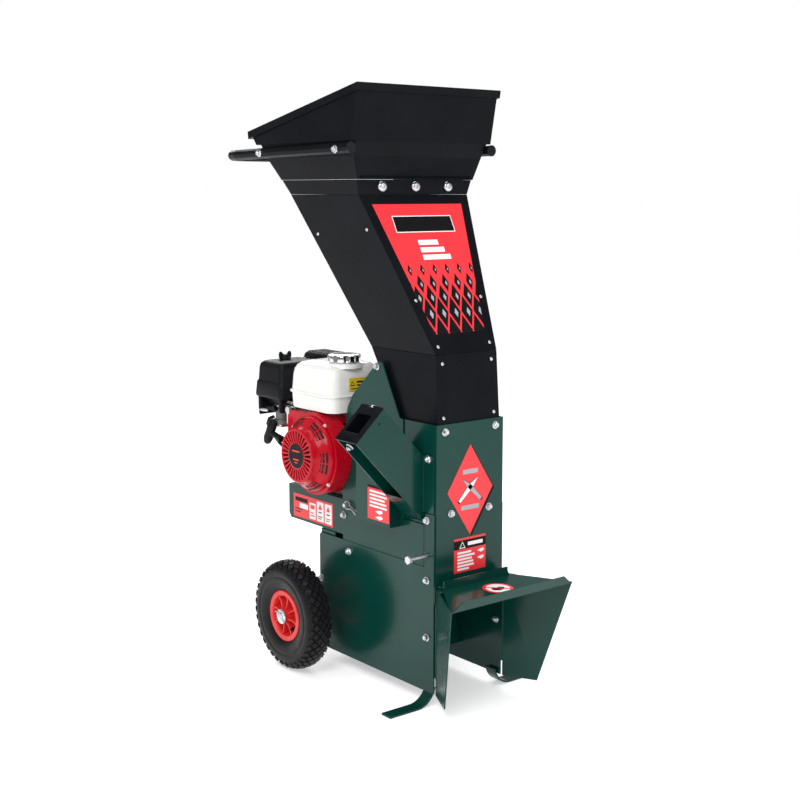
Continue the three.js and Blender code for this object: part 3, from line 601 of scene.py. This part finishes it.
# ------------------------------------------------------------------ engine
def build_starter(scene):
    looks = scene.chipper_engine
    centre = at(0, CRANK_Y, CRANK_Z)
    axis = Vector((-1, 0, 0))
    bm = bmesh.new()
    shell = [(62, 150), (84, 146.5), (89.5, 146.5), (89.5, 149), (86, 156), (80, 163), (71.5, 170), (66.5, 180),
             (64.5, 187.5), (62, 190), (58, 190), (57, 188.2), (57, 184), (61, 184), (63, 178), (67, 168), (77, 160)]
    turned_ring(bm, shell, centre, axis, 96)
    badge = [(0.0, 184), (33, 184), (33, 189.4), (31.5, 190), (0.0, 190)]
    turned(bm, [(r * MM, h * MM) for r, h in badge], centre, axis, 64)
    publish_bmesh("starter_cover", bm, ["engine_red"], "chassis", ["recoil_housing"], 30.0)
    bm = bmesh.new()
    turned(bm, [(0.0, 0.180), (0.0575, 0.180), (0.0575, 0.1835), (0.0, 0.1835)], centre, axis, 48)
    turned(bm, [(0.0, 0.1902), (0.0295, 0.1902), (0.0290, 0.1908), (0.0, 0.1908)], centre, axis, 48)
    publish_bmesh("starter_dark_parts", bm, ["void"], "chassis")
    bm = bmesh.new()
    for width, height, lift in ((30, 3.2, 11), (22, 3.0, -9), (12, 2.4, -16)):
        outline = rect(-width / 2, -height / 2, width / 2, height / 2)
        points = [centre + Vector((-0.1909, y * MM, (lift + z) * MM)) for y, z in outline]
        slab(bm, points, 0.0002, axis)
    publish_bmesh("starter_badge_bars", bm, ["print_red"], "chassis")
    bar = bmesh.new()
    outline = rect(31, 184.2, 58.5, 189.6)
    loft(bar, [[Vector((w * s, x, r)) * MM for (r, x), s in zip(outline, (0.8, 1.6, 1.6, 0.8))]
               for w in (-1.75, 1.75)])
    rows = []
    for a in turns(looks.face_slots):
        out = spoke(a)
        rows.append((centre, Matrix((axis.cross(out), axis, out)).transposed(), (1.0, 1.0, 1.0)))
    repeats("starter_face_bars", bar, rows, "engine_red", "chassis")
    slot = bmesh.new()
    outline = rect(-11.5, -2.6, 11.5, 2.6)
    loft(slot, [[Vector((x, y, z)) * MM for x, y in outline] for z in (-1.0, 0.35)])
    rows = []
    for i in range(looks.side_groups):
        for row, (radius, depth) in enumerate(((70.2, 171.0), (76.2, 165.7), (82.3, 160.2))):
            for k in (-0.5, 0.5):
                out = spoke(2 * math.pi * (i + 0.12) / looks.side_groups + k * 0.34)
                way = (out * 0.68 + axis * 0.73).normalized()
                place = centre + out * radius * MM + axis * depth * MM
                rows.append((place, aim(way, out.cross(axis)), (0.86 + 0.1 * row, 1.0, 1.0)))
    repeats("starter_side_vents", slot, rows, "void", "chassis")
    rows = []
    for a in (0.62, 2.2, 3.9, 5.3):
        rows.append((centre + spoke(a) * 0.0915 + axis * 0.1452, aim(axis), (0.0052,) * 3))
    repeats("starter_screws", hex_head(bmesh.new()), rows, "zinc", "chassis", 1.0, 3)


def build_tank(scene):
    looks = scene.chipper_engine
    bm = bmesh.new()
    inset = ((10, 612.2), (6.5, 613.5), (5.5, 618), (4.0, 646), (3.5, 649), (0.6, 650), (0, 651), (0, 653.5),
             (0.6, 654.5), (3.6, 655.5), (4.2, 658), (6.5, 692), (9, 706), (14, 715), (22, 721), (34, 724.5),
             (54, 726.8))
    loops = [round_rect(-143 + d, 27 - d, 322 + d, 509 - d, max(30 - d * 0.2, 16), z, 9) for d, z in inset]
    loft(bm, loops)
    neck = at(-72, 364, 0)
    turned(bm, [(0.0, 0.716), (0.042, 0.716), (0.040, 0.724), (0.034, 0.7275), (0.032, 0.729), (0.0, 0.729)],
           neck, UP, 40)
    publish_bmesh("fuel_tank_shell", bm, ["engine_white"], "chassis", ["fuel_tank"], 50.0)
    bm = bmesh.new()
    lobes = looks.cap_scallops
    loops = []
    for radius, height, wave in ((0.02, 729.6, 0), (36.5, 729.6, 0), (39.4, 731, 1.5), (39.8, 733, 3.4),
                                 (39.8, 742, 3.6), (38.6, 745, 2.8), (34.0, 747, 0.8), (22, 748, 0),
                                 (0.02, 748.3, 0)):
        ring = []
        for a in turns(120):
            r = radius - wave * (0.5 + 0.5 * math.cos(lobes * a)) ** 3
            ring.append(neck + Vector((r * math.cos(a), r * math.sin(a), height)) * MM)
        loops.append(ring)
    loft(bm, loops)
    publish_bmesh("fuel_cap_shell", bm, ["chrome"], "tank_cap", ["fuel_cap"], 40.0)


def build_cleaner():
    bm = bmesh.new()
    inset = ((5, 619.3), (1.5, 620), (0.2, 623), (0, 628), (2.4, 656), (3.4, 659), (5.2, 660.5), (5.6, 662), (7.5, 694),
             (10, 702), (15, 707), (22, 709.3), (34, 710))
    loops = [round_rect(-136 + d, 6 - d, 541 + d, 659 - d, max(12 - d * 0.1, 9), z, 7) for d, z in inset]
    loft(bm, loops)
    publish_bmesh("air_cleaner_shell", bm, ["black_plastic"], "chassis", ["air_cleaner"], 45.0)
    bm = bmesh.new()
    centre = at(-72, 614, 0)
    turned(bm, [(0.0, 0.7105), (0.0145, 0.7105), (0.0145, 0.713), (0.011, 0.7165), (0.008, 0.722), (0.0, 0.7235)],
           centre, UP, 32)
    wing = [(-17, 713.5), (-18, 722), (-16, 729.3), (-11, 729.8), (-6, 723), (6, 723), (11, 729.8), (16, 729.3),
            (18, 722), (17, 713.5)]
    loft(bm, [[centre + Vector((x, y, z)) * MM for x, z in wing] for y in (-2.6, 2.6)])
    publish_bmesh("air_cleaner_wing_knob", bm, ["black_plastic"], "cleaner_knob",
                  ["air_cleaner_knob"], 30.0, 0.0007)


def build_intake():
    bm = bmesh.new()
    for x0, x1, y0, y1, levels in (
        (-110, -58, 570, 643, ((0, 618.6), (1, 606), (8, 596), (12, 592))),
        (-128, -60, 645, 656, ((0, 618.6), (0.5, 580), (3, 572))),
        (-128, -106, 553, 566, ((0, 618.6), (0.5, 590), (2, 586))),
    ):
        loft(bm, [round_rect(x0 + d, x1 - d, y0 + d, y1 - d, 5, z, 5) for d, z in levels])
    publish_bmesh("intake_elbow", bm, ["black_plastic"], "chassis", (), 40.0)
    bm = bmesh.new()
    rod = [at(-112, 512, 604), at(-113, 540, 606), at(-113, 575, 604), at(-112, 592, 598)]
    sweep(bm, rod, 0.0016, 8)
    spring = [at(-106 + 3.4 * math.cos(i * 0.9), 520 + i * 0.72, 612 + 3.4 * math.sin(i * 0.9)) for i in range(90)]
    sweep(bm, spring, 0.0006, 6)
    turned(bm, [(0.0, 0.0), (0.005, 0.0), (0.005, 0.02), (0.003, 0.022), (0.0, 0.022)], at(-112, 636, 584),
           (-0.6, 0.8, 0), 16)
    publish_bmesh("governor_linkage", bm, ["zinc"], "chassis", (), 40.0)
    bm = bmesh.new()
    hose = [at(-100, 626, 566), at(-104, 640, 560), at(-104, 648, 546), at(-100, 640, 528), at(-92, 612, 500),
            at(-84, 560, 470), at(-80, 520, 452)]
    sweep(bm, split_line(hose), 0.0042, 10)
    lead = [at(0, 600, 540), at(-18, 612, 520), at(-40, 600, 500), at(-70, 545, 500), at(-92, 500, 512)]
    sweep(bm, split_line(lead), 0.0036, 10)
    publish_bmesh("fuel_hose_and_plug_lead", bm, ["black_plastic"], "chassis", (), 60.0)
    bm = bmesh.new()
    sleeve = ((495, 535.3, 8.6), (512, 539.2, 7.4), (536, 544.7, 7.2), (546, 547, 9.6))
    barrel(bm, [(at(-165, y, z), r) for y, z, r in sleeve], 20)
    top, low = at(-165, 526, 578), at(-165, 560.5, 516)
    grip = ((0, 0.02), (0.02, 6), (0.08, 10), (0.25, 12.6), (0.5, 12), (0.75, 12.6), (0.92, 10), (0.98, 6), (1, 0.02))
    barrel(bm, [(top.lerp(low, t), r) for t, r in grip], 24, 0.9)
    publish_bmesh("starter_grip_shell", bm, ["black_plastic"], "starter_grip", ["recoil_handle"],
                  40.0)


def build_guard():
    bm = bmesh.new()
    for corner, levels, caps, index in (
        (15, ((3, 606), (0.5, 607), (0, 609), (0, 622), (1.6, 623)), (False, False), 0),
        (15, ((2.5, 706), (1, 708), (1.5, 713), (6, 719), (14, 721.8)), (False, True), 0),
        (13, ((3.5, 610), (3.5, 716)), (True, True), 1),
    ):
        loft(bm, [round_rect(10 + d, 84 - d, 520 + d, 662 - d, corner, z, 7) for d, z in levels], caps, index)
    publish_bmesh("muffler_guard_shell", bm, ["black_plastic", "void"], "chassis",
                  ["muffler_guard"], 40.0)
    diamond = bmesh.new()
    for way in (-1, 1):
        for part in (-1, 1):
            a = Vector((part * 4.0, 0, 0))
            b = Vector((0, way * 6.0, 0))
            side = (b - a).normalized().cross(Vector((0, 0, 1))) * 0.75
            strand = [a + side, b + side, b - side, a - side]
            loft(diamond, [strand, [p + Vector((0, 0, 1.6)) for p in strand]])
    for vert in diamond.verts:
        vert.co *= MM
    rows = []
    for j in range(8):
        z = 630 + j * 10.6
        for out in (-1, 1):
            for i in range(10):
                rows.append((at(47 + out * 34.6, 535 + i * 12.6, z), aim((out, 0, 0), BACK), (1.4, 0.86, 1.0)))
            for i in range(5):
                rows.append((at(25 + i * 11, 591 + out * 68.6, z), aim((0, out, 0), RIGHT), (1.3, 0.86, 1.0)))
    for i in range(5):
        for j in range(9):
            rows.append((at(25 + i * 11, 539 + j * 13, 720.6), aim(UP, RIGHT), (1.3, 0.86, 1.0)))
    repeats("muffler_guard_mesh", diamond, rows, "black_plastic", "chassis")


# ------------------------------------------------------------------ fasteners and trim
def build_fasteners(scene):
    looks = scene.chipper_fasteners
    big = looks.bolt_radius * 1.35
    small = looks.rivet_radius
    bolts = [(at(x, 0, z), FRONT) for x, z in ((-73, 612), (73, 612), (-55, 430), (55, 430))]
    for _, sign in SIDES:
        out = (sign, 0, 0)
        for y, z in ((26, 417), (26, 283), (26, 154), (311, 287), (421, 199)):
            bolts.append((at(sign * 101.4, y, z), out))
        bolts.append((at(sign * 100.4, 203, 736), out))
        bolts.append((at(sign * 100.4, 331, 371), out))
        bolts.append((at(sign * 94, 14, 160), (-sign, 0, 0)))
        for y, z in ((202, 1214), (500, 1212)):
            bolts.append((at(sign * 213.2, y, z), out))
    bolts.append((at(-100.4, 24, 552), (-1, 0, 0)))
    bolts.append((at(-213.6, 74, 667.4), (0.725, 0, 0.688)))
    bolts.append((at(-272.0, 74, 593.6), (-0.725, 0, -0.688)))
    rows = [(p, aim(n), (big,) * 3) for p, n in bolts]
    repeats("hex_bolts", hex_head(bmesh.new()), rows, "zinc", "chassis", 1.0, looks.seed)
    rows = [(at(x, 191.6, 1135), aim(FRONT), (0.0125,) * 3) for x in (-95, 0, 95)]
    repeats("hopper_dome_bolts", dome_screw(bmesh.new()), rows, "zinc", "chassis", 1.0, looks.seed)
    slope = (0, -FUNNEL_TILT.z, FUNNEL_TILT.y)
    rivets = [(at(x, 14 + (z - 777) * 0.5294, z), slope) for x, z in
              ((-94, 891), (94, 891), (-74.5, 794), (74.5, 794))]
    rivets += [(at(x, 3.6 + (z - 615) * 0.0642, z), (0, -1, 0.064)) for x, z in
               ((-71, 758), (71, 758), (-73, 641), (73, 641))]
    for _, sign in SIDES:
        side = (sign * 0.98, 0, -0.199)
        for y, z in ((372, 1028), (184, 1042)):
            rivets.append((at(sign * (88 + (z - 777) * 0.203), y, z), side))
    rows = [(p, aim(n), (small,) * 3) for p, n in rivets]
    repeats("funnel_screws", dome_screw(bmesh.new()), rows, "zinc", "chassis", 1.0, looks.seed)
    rows = [(at(156, y, z), aim(RIGHT), (0.006,) * 3) for y, z in
            ((120, 430), (150, 520), (250, 545), (300, 440), (420, 580), (455, 480))]
    for _, sign in SIDES:
        for k in range(4):
            a = math.pi / 4 + k * math.pi / 2
            place = at(sign * 106, 168 + 32 * math.cos(a), 468 + 32 * math.sin(a))
            rows.append((place, aim((sign, 0, 0)), (0.0058,) * 3))
    for x, y in ((-60, 340), (18, 340), (-60, 462), (18, 462)):
        rows.append((at(x, y, 417), aim(UP), (0.0075,) * 3))
    reach, run, rise = 178.4, 0.966, 0.259
    for x in (-30, 30):
        for z in (-28, 28):
            rows.append((at(x, CRANK_Y + reach * run - z * rise, CRANK_Z + reach * rise + z * run),
                         aim((0, run, rise)), (0.0072,) * 3))
    for x in (-60, 60):
        rows.append((at(x, 428, 280), aim(BACK), (big,) * 3))
        rows.append((at(x, 566, 372), aim(BACK), (big,) * 3))
    repeats("drive_and_engine_bolts", hex_head(bmesh.new()), rows, "zinc", "chassis", 1.0, looks.seed + 4)


def build_trim():
    bm = bmesh.new()
    edge = [(188, 1150.8), (178, 1150.8), (178, 1152.6), (184.5, 1159.2), (188, 1159.2)]
    loft(bm, [[at(x, y, z) for y, z in edge] for x in (-157.6, 157.6)])
    publish_bmesh("hopper_front_lip", bm, ["black_paint"], "chassis", (), 30.0)
    bm = bmesh.new()
    turned(bm, [(0.0, 0.0), (0.0030, 0.0), (0.0030, 0.0004), (0.0, 0.0004)], at(-221, 40, 640), FRONT, 20)
    publish_bmesh("chute_rope_hole", bm, ["void"], "chassis")


# ------------------------------------------------------------------ decals
def patch(corner, u_axis, v_axis, lift=LABEL_LIFT):
    """Maps label millimetres to a lifted point on a flat surface."""
    u, v = Vector(u_axis).normalized(), Vector(v_axis).normalized()
    normal = u.cross(v).normalized()
    return lambda a, b, layer=0: corner + (u * a + v * b) * MM + normal * (lift + LAYER_STEP * layer), normal


def sheet_set(name, where, shapes, slots):
    """One printed label: shapes are (layer, look, outline in label millimetres)."""
    place, normal = where
    bm = bmesh.new()
    for layer, look, outline in shapes:
        points = [place(a, b, layer) for a, b in outline]
        slab(bm, points, PRINT_THICKNESS, normal, slots.index(look))
    publish_bmesh(name, bm, slots, "chassis", (), 30.0)


def rect(x0, y0, x1, y1):
    return [(x0, y0), (x1, y0), (x1, y1), (x0, y1)]


def disc(cx, cy, radius):
    return [(cx + radius * math.cos(a), cy + radius * math.sin(a)) for a in turns(40)]


def lozenge(cx, cy, half_w, half_h):
    return [(cx, cy - half_h), (cx + half_w, cy), (cx, cy + half_h), (cx - half_w, cy)]


def triangle(cx, cy, size):
    return [(cx - size, cy - size * 0.8), (cx + size, cy - size * 0.8), (cx, cy + size * 0.95)]


def text_bars(shapes, look, left, top, widths, pitch, height, layer=2):
    for i, width in enumerate(widths):
        y = top - i * pitch
        shapes.append((layer, look, rect(left, y - height, left + width, y)))


def build_labels():
    inks = ["print_red", "print_white", "print_black", "print_grey"]
    shapes = [(0, "print_black", lozenge(5, -4, 66, 101)), (1, "print_red", lozenge(0, 0, 66, 101))]
    blade = [(-34, -22), (-29, -26), (6, 4), (22, 26), (16, 22), (-4, 10)]
    shapes.append((2, "print_black", [(x * 1.1, y * 1.1) for x, y in blade]))
    shapes.append((3, "print_white", blade))
    shapes.append((2, "print_black", [(-x * 1.1, y * 1.1) for x, y in reversed(blade)]))
    shapes.append((3, "print_grey", [(-x, y) for x, y in reversed(blade)]))
    text_bars(shapes, "print_grey", -22, 46, (44,), 12, 10)
    text_bars(shapes, "print_grey", -26, -34, (52,), 12, 10)
    sheet_set("front_diamond_label", patch(at(0, 0, 476), RIGHT, UP), shapes, inks)
    shapes = [(0, "print_red", rect(-46, -38, 47, 39)), (1, "print_black", rect(-46, 14, 47, 34)),
              (2, "print_white", triangle(-22, 23, 9)), (3, "print_black", triangle(-22, 22.6, 6))]
    text_bars(shapes, "print_white", -6, 28, (44,), 9, 8)
    text_bars(shapes, "print_white", -36, 8, (40, 50, 42, 46, 48, 34), 7.4, 4.4)
    for z in (4, -12):
        shapes.append((2, "print_white", [(22, z), (34, z - 5), (42, z - 1), (40, z + 4), (30, z + 3)]))
    sheet_set("front_warning_label", patch(at(0, 0, 331), RIGHT, UP), shapes, inks)
    shapes = [(0, "print_red", rect(0, 0, 165, 58))]
    text_bars(shapes, "print_black", 8, 50, (52,), 14, 10)
    shapes += [(1, "print_white", rect(26, 24, 62, 36)), (1, "print_white", rect(68, 5, 94, 45)),
               (1, "print_white", rect(99, 5, 127, 53)), (1, "print_white", rect(132, 5, 160, 53))]
    for x in (113, 146):
        shapes += [(2, "print_red", triangle(x, 41, 8)), (2, "print_black", rect(x - 6, 26, x + 6, 29)),
                   (2, "print_black", rect(x - 9, 16, x + 9, 18)), (2, "print_black", rect(x - 9, 11, x + 5, 13))]
    shapes += [(2, "print_red", rect(72, 30, 90, 40)), (2, "print_red", rect(72, 12, 90, 15)),
               (2, "print_red", rect(72, 19, 86, 22))]
    text_bars(shapes, "print_black", 8, 22, (30, 22), 7, 2.5)
    sheet_set("engine_base_label", patch(at(-97, 545, 329), FRONT, UP), shapes, inks)
    shapes = [(0, "print_red", rect(0, 0, 78, 78)), (1, "print_black", rect(0, 72, 78, 78))]
    text_bars(shapes, "print_white", 8, 67, (58, 62, 54, 60, 62), 8.4, 4.6)
    for z in (20, 7):
        shapes.append((2, "print_white", [(28, z), (44, z - 5), (56, z), (52, z + 5), (38, z + 3)]))
    sheet_set("bearing_guard_label", patch(at(-130, 200, 394), FRONT, UP), shapes, inks)
    shapes = [(0, "print_red", disc(0, 0, 34)), (1, "print_white", disc(0, 0, 27))]
    shapes.append((2, "print_black", [(-16, -8), (-6, -14), (10, -12), (16, -2), (8, 6), (-2, 4), (-10, 8), (-18, 2)]))
    shapes.append((3, "print_red", [(-22, 18), (-18, 22), (22, -18), (18, -22)]))
    hood = patch(at(8, -84, 270.6), RIGHT, (0, 1, 0.026))
    sheet_set("hood_hand_label", hood, shapes, inks)
    sheet_set("tank_label", patch(at(-88, 325.6, 664), RIGHT, UP, 0.0004),
              [(0, "print_yellow", rect(0, 0, 46, 30)), (1, "print_black", triangle(10, 17, 7)),
               (2, "print_yellow", triangle(10, 16.8, 4)), (1, "print_black", rect(22, 18, 42, 22)),
               (1, "print_black", rect(22, 11, 40, 14)), (1, "print_black", rect(5, 4, 41, 6))],
              ["print_yellow", "print_black"])


def clipped(outline, lines):
    """Part of an outline on the inner side of every line, each given as (a, b, c) with a*x + b*y <= c."""
    for a, b, c in lines:
        kept = []
        for (x0, y0), (x1, y1) in zip(outline, outline[1:] + outline[:1]):
            d0, d1 = a * x0 + b * y0 - c, a * x1 + b * y1 - c
            if d0 <= 0:
                kept.append((x0, y0))
            if d0 * d1 < 0:
                t = d0 / (d0 - d1)
                kept.append((x0 + (x1 - x0) * t, y0 + (y1 - y0) * t))
        outline = kept
    return outline


def build_hopper_graphic():
    where = patch(at(0, 36.6, 819.6), RIGHT, FUNNEL_TILT)
    slope = (129 - 72) / 313
    sides = [(1, -slope, 72), (-1, -slope, 72), (0, -1, 0)]
    shapes = [(0, "print_red", [(-72, 0), (72, 0), (129, 313), (-129, 313)]),
              (1, "print_white", rect(-86, 243, 84, 284)), (2, "print_black", rect(-84, 245, 82, 282))]
    text_bars(shapes, "print_white", -34, 224, (56, 68, 80), 18, 12, 1)
    for level, shift, wide, tall in ((152, 0.0, 6.0, 14), (119, 0.5, 9.5, 22), (87, 0.0, 13.0, 29), (49, 0.5, 16.2, 37),
                                     (3, 0.0, 16.4, 38)):
        for k in range(-4, 5):
            x = (k + shift) * 35.4 - 13
            diamond = clipped(lozenge(x, level, wide, tall), sides)
            if len(diamond) > 2:
                shapes.append((1, "print_black", diamond))
            spot = clipped(lozenge(x + wide * 0.22, level - tall * 0.06, wide * 0.32, tall * 0.3), sides)
            if level > 20 and len(spot) == 4:
                shapes.append((2, "print_grey", spot))
    sheet_set("hopper_graphic", where, shapes, ["print_red", "print_black", "print_grey", "print_white"])


# ------------------------------------------------------------------ stage
def build_stage():
    bm = bmesh.new()
    bmesh.ops.create_grid(bm, x_segments=8, y_segments=8, size=60.0)
    floor = add_object("studio_floor", baked_mesh("studio_floor", bm))
    paper = finish_material("studio_floor", (0.84, 0.84, 0.84), (0.5, 0.6), 0.0, (30.0, 0.01), 0.01, shine=0.1)
    glow = paper.node_tree.nodes["Principled BSDF"]
    glow.inputs["Emission Color"].default_value = (1.0, 1.0, 1.0, 1.0)
    glow.inputs["Emission Strength"].default_value = FLOOR_GLOW
    floor.data.materials.append(paper)
    floor.location.z = -0.0002
    world = bpy.context.scene.world or bpy.data.worlds.new("studio")
    bpy.context.scene.world = world
    world.use_nodes = True
    backdrop = world.node_tree.nodes["Background"]
    backdrop.inputs["Color"].default_value = (1.0, 1.0, 1.0, 1.0)
    ray = node(world.node_tree, "ShaderNodeLightPath").outputs
    lift = remap(world.node_tree, ray["Is Camera Ray"], 0.0, 1.0, WORLD_LIGHT, WORLD_SEEN)
    dim = remap(world.node_tree, ray["Is Glossy Ray"], 0.0, 1.0, 0.0, WORLD_GLOSSY_DROP)
    strength = maths(world.node_tree, "SUBTRACT", lift, dim)
    world.node_tree.links.new(strength, backdrop.inputs["Strength"])
    for name, place, size, power in (
        ("key_softbox", (-2.2, -1.6, 2.9), 1.6, 62.0),
        ("front_softbox", (1.2, -3.1, 1.9), 1.7, 20.0),
        ("rear_softbox", (1.4, 2.6, 2.4), 1.8, 40.0),
        ("top_softbox", (0.0, 0.0, 3.4), 2.2, 40.0),
    ):
        lamp = bpy.data.lights.new(name, "AREA")
        lamp.size = size
        lamp.energy = power
        holder = add_object(name, lamp)
        holder.location = place
        holder.rotation_euler = (Vector((0.0, 0.0, 0.6)) - Vector(place)).to_track_quat("-Z", "Y").to_euler()
    lens = bpy.data.cameras.new("studio_camera")
    lens.lens = CAMERA_LENS
    lens.sensor_width = CAMERA_SENSOR
    lens.shift_y = CAMERA_SHIFT
    lens.clip_end = 200.0
    camera = add_object("studio_camera", lens)
    camera.location = at(*CAMERA_PLACE)
    level = math.cos(CAMERA_PITCH)
    way = Vector((math.sin(CAMERA_YAW) * level, math.cos(CAMERA_YAW) * level, -math.sin(CAMERA_PITCH)))
    camera.rotation_euler = way.to_track_quat("-Z", "Y").to_euler()
    bpy.context.scene.camera = camera
    bpy.context.scene.view_settings.view_transform = "Standard"


# ------------------------------------------------------------------ operators
class ChipperOperator:
    bl_options = {"REGISTER", "UNDO"}

    def execute(self, context):
        self.build(context.scene)
        return {"FINISHED"}


class CHIPPER_OT_frame(ChipperOperator, bpy.types.Operator):
    """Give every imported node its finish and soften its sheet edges"""

    bl_idname = "chipper.frame"
    bl_label = "Dress Frame"

    def build(self, scene):
        make_materials(scene)
        dress_frame(scene)


class CHIPPER_OT_wheels(ChipperOperator, bpy.types.Operator):
    """Build the treaded tyres, ribbed rims and the left hub retainer"""

    bl_idname = "chipper.wheels"
    bl_label = "Build Wheels"

    def build(self, scene):
        build_wheels(scene)
        build_hub_retainer()


class CHIPPER_OT_engine(ChipperOperator, bpy.types.Operator):
    """Build the starter cover, tank, air cleaner, intake and muffler guard"""

    bl_idname = "chipper.engine"
    bl_label = "Build Engine"

    def build(self, scene):
        build_starter(scene)
        build_tank(scene)
        build_cleaner()
        build_intake()
        build_guard()


class CHIPPER_OT_fasteners(ChipperOperator, bpy.types.Operator):
    """Place bolts, domed screws and small trim"""

    bl_idname = "chipper.fasteners"
    bl_label = "Place Fasteners"

    def build(self, scene):
        build_fasteners(scene)
        build_trim()


class CHIPPER_OT_labels(ChipperOperator, bpy.types.Operator):
    """Print the hopper graphic and the plain warning labels"""

    bl_idname = "chipper.labels"
    bl_label = "Apply Labels"

    def build(self, scene):
        build_hopper_graphic()
        build_labels()


class CHIPPER_OT_stage(ChipperOperator, bpy.types.Operator):
    """Set the pale floor, soft lights and camera"""

    bl_idname = "chipper.stage"
    bl_label = "Set Stage"

    def build(self, scene):
        build_stage()


OPERATORS = (
    CHIPPER_OT_stage,
    CHIPPER_OT_frame,
    CHIPPER_OT_wheels,
    CHIPPER_OT_engine,
    CHIPPER_OT_fasteners,
    CHIPPER_OT_labels,
)


class CHIPPER_PT_panel(bpy.types.Panel):
    bl_label = "Wood Chipper"
    bl_idname = "CHIPPER_PT_panel"
    bl_space_type = "VIEW_3D"
    bl_region_type = "UI"
    bl_category = "Chipper"

    def draw(self, context):
        layout = self.layout
        for operator in OPERATORS:
            layout.operator(operator.bl_idname)
        for key in ("chipper_wheels", "chipper_engine", "chipper_fasteners", "chipper_finish"):
            group = getattr(context.scene, key)
            box = layout.box()
            for name in group.__annotations__:
                box.prop(group, name)


GROUPS = (
    ("chipper_wheels", ChipperWheelSettings),
    ("chipper_engine", ChipperEngineSettings),
    ("chipper_fasteners", ChipperFastenerSettings),
    ("chipper_finish", ChipperFinishSettings),
)


def register():
    for key, group in GROUPS:
        bpy.utils.register_class(group)
        setattr(bpy.types.Scene, key, PointerProperty(type=group))
    for operator in OPERATORS:
        bpy.utils.register_class(operator)
    bpy.utils.register_class(CHIPPER_PT_panel)


def unregister():
    bpy.utils.unregister_class(CHIPPER_PT_panel)
    for operator in reversed(OPERATORS):
        bpy.utils.unregister_class(operator)
    for key, group in reversed(GROUPS):
        delattr(bpy.types.Scene, key)
        bpy.utils.unregister_class(group)


def main():
    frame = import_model()
    STATE["frame"] = frame
    low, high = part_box("inlet_housing")
    STATE["origin"] = ((low[0] + high[0]) / 2, high[1] - HOUSING_DEPTH * MM)
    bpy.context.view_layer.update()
    register()
    for operator in OPERATORS:
        area, name = operator.bl_idname.split(".")
        getattr(getattr(bpy.ops, area), name)()


if __name__ == "__main__":
    main()
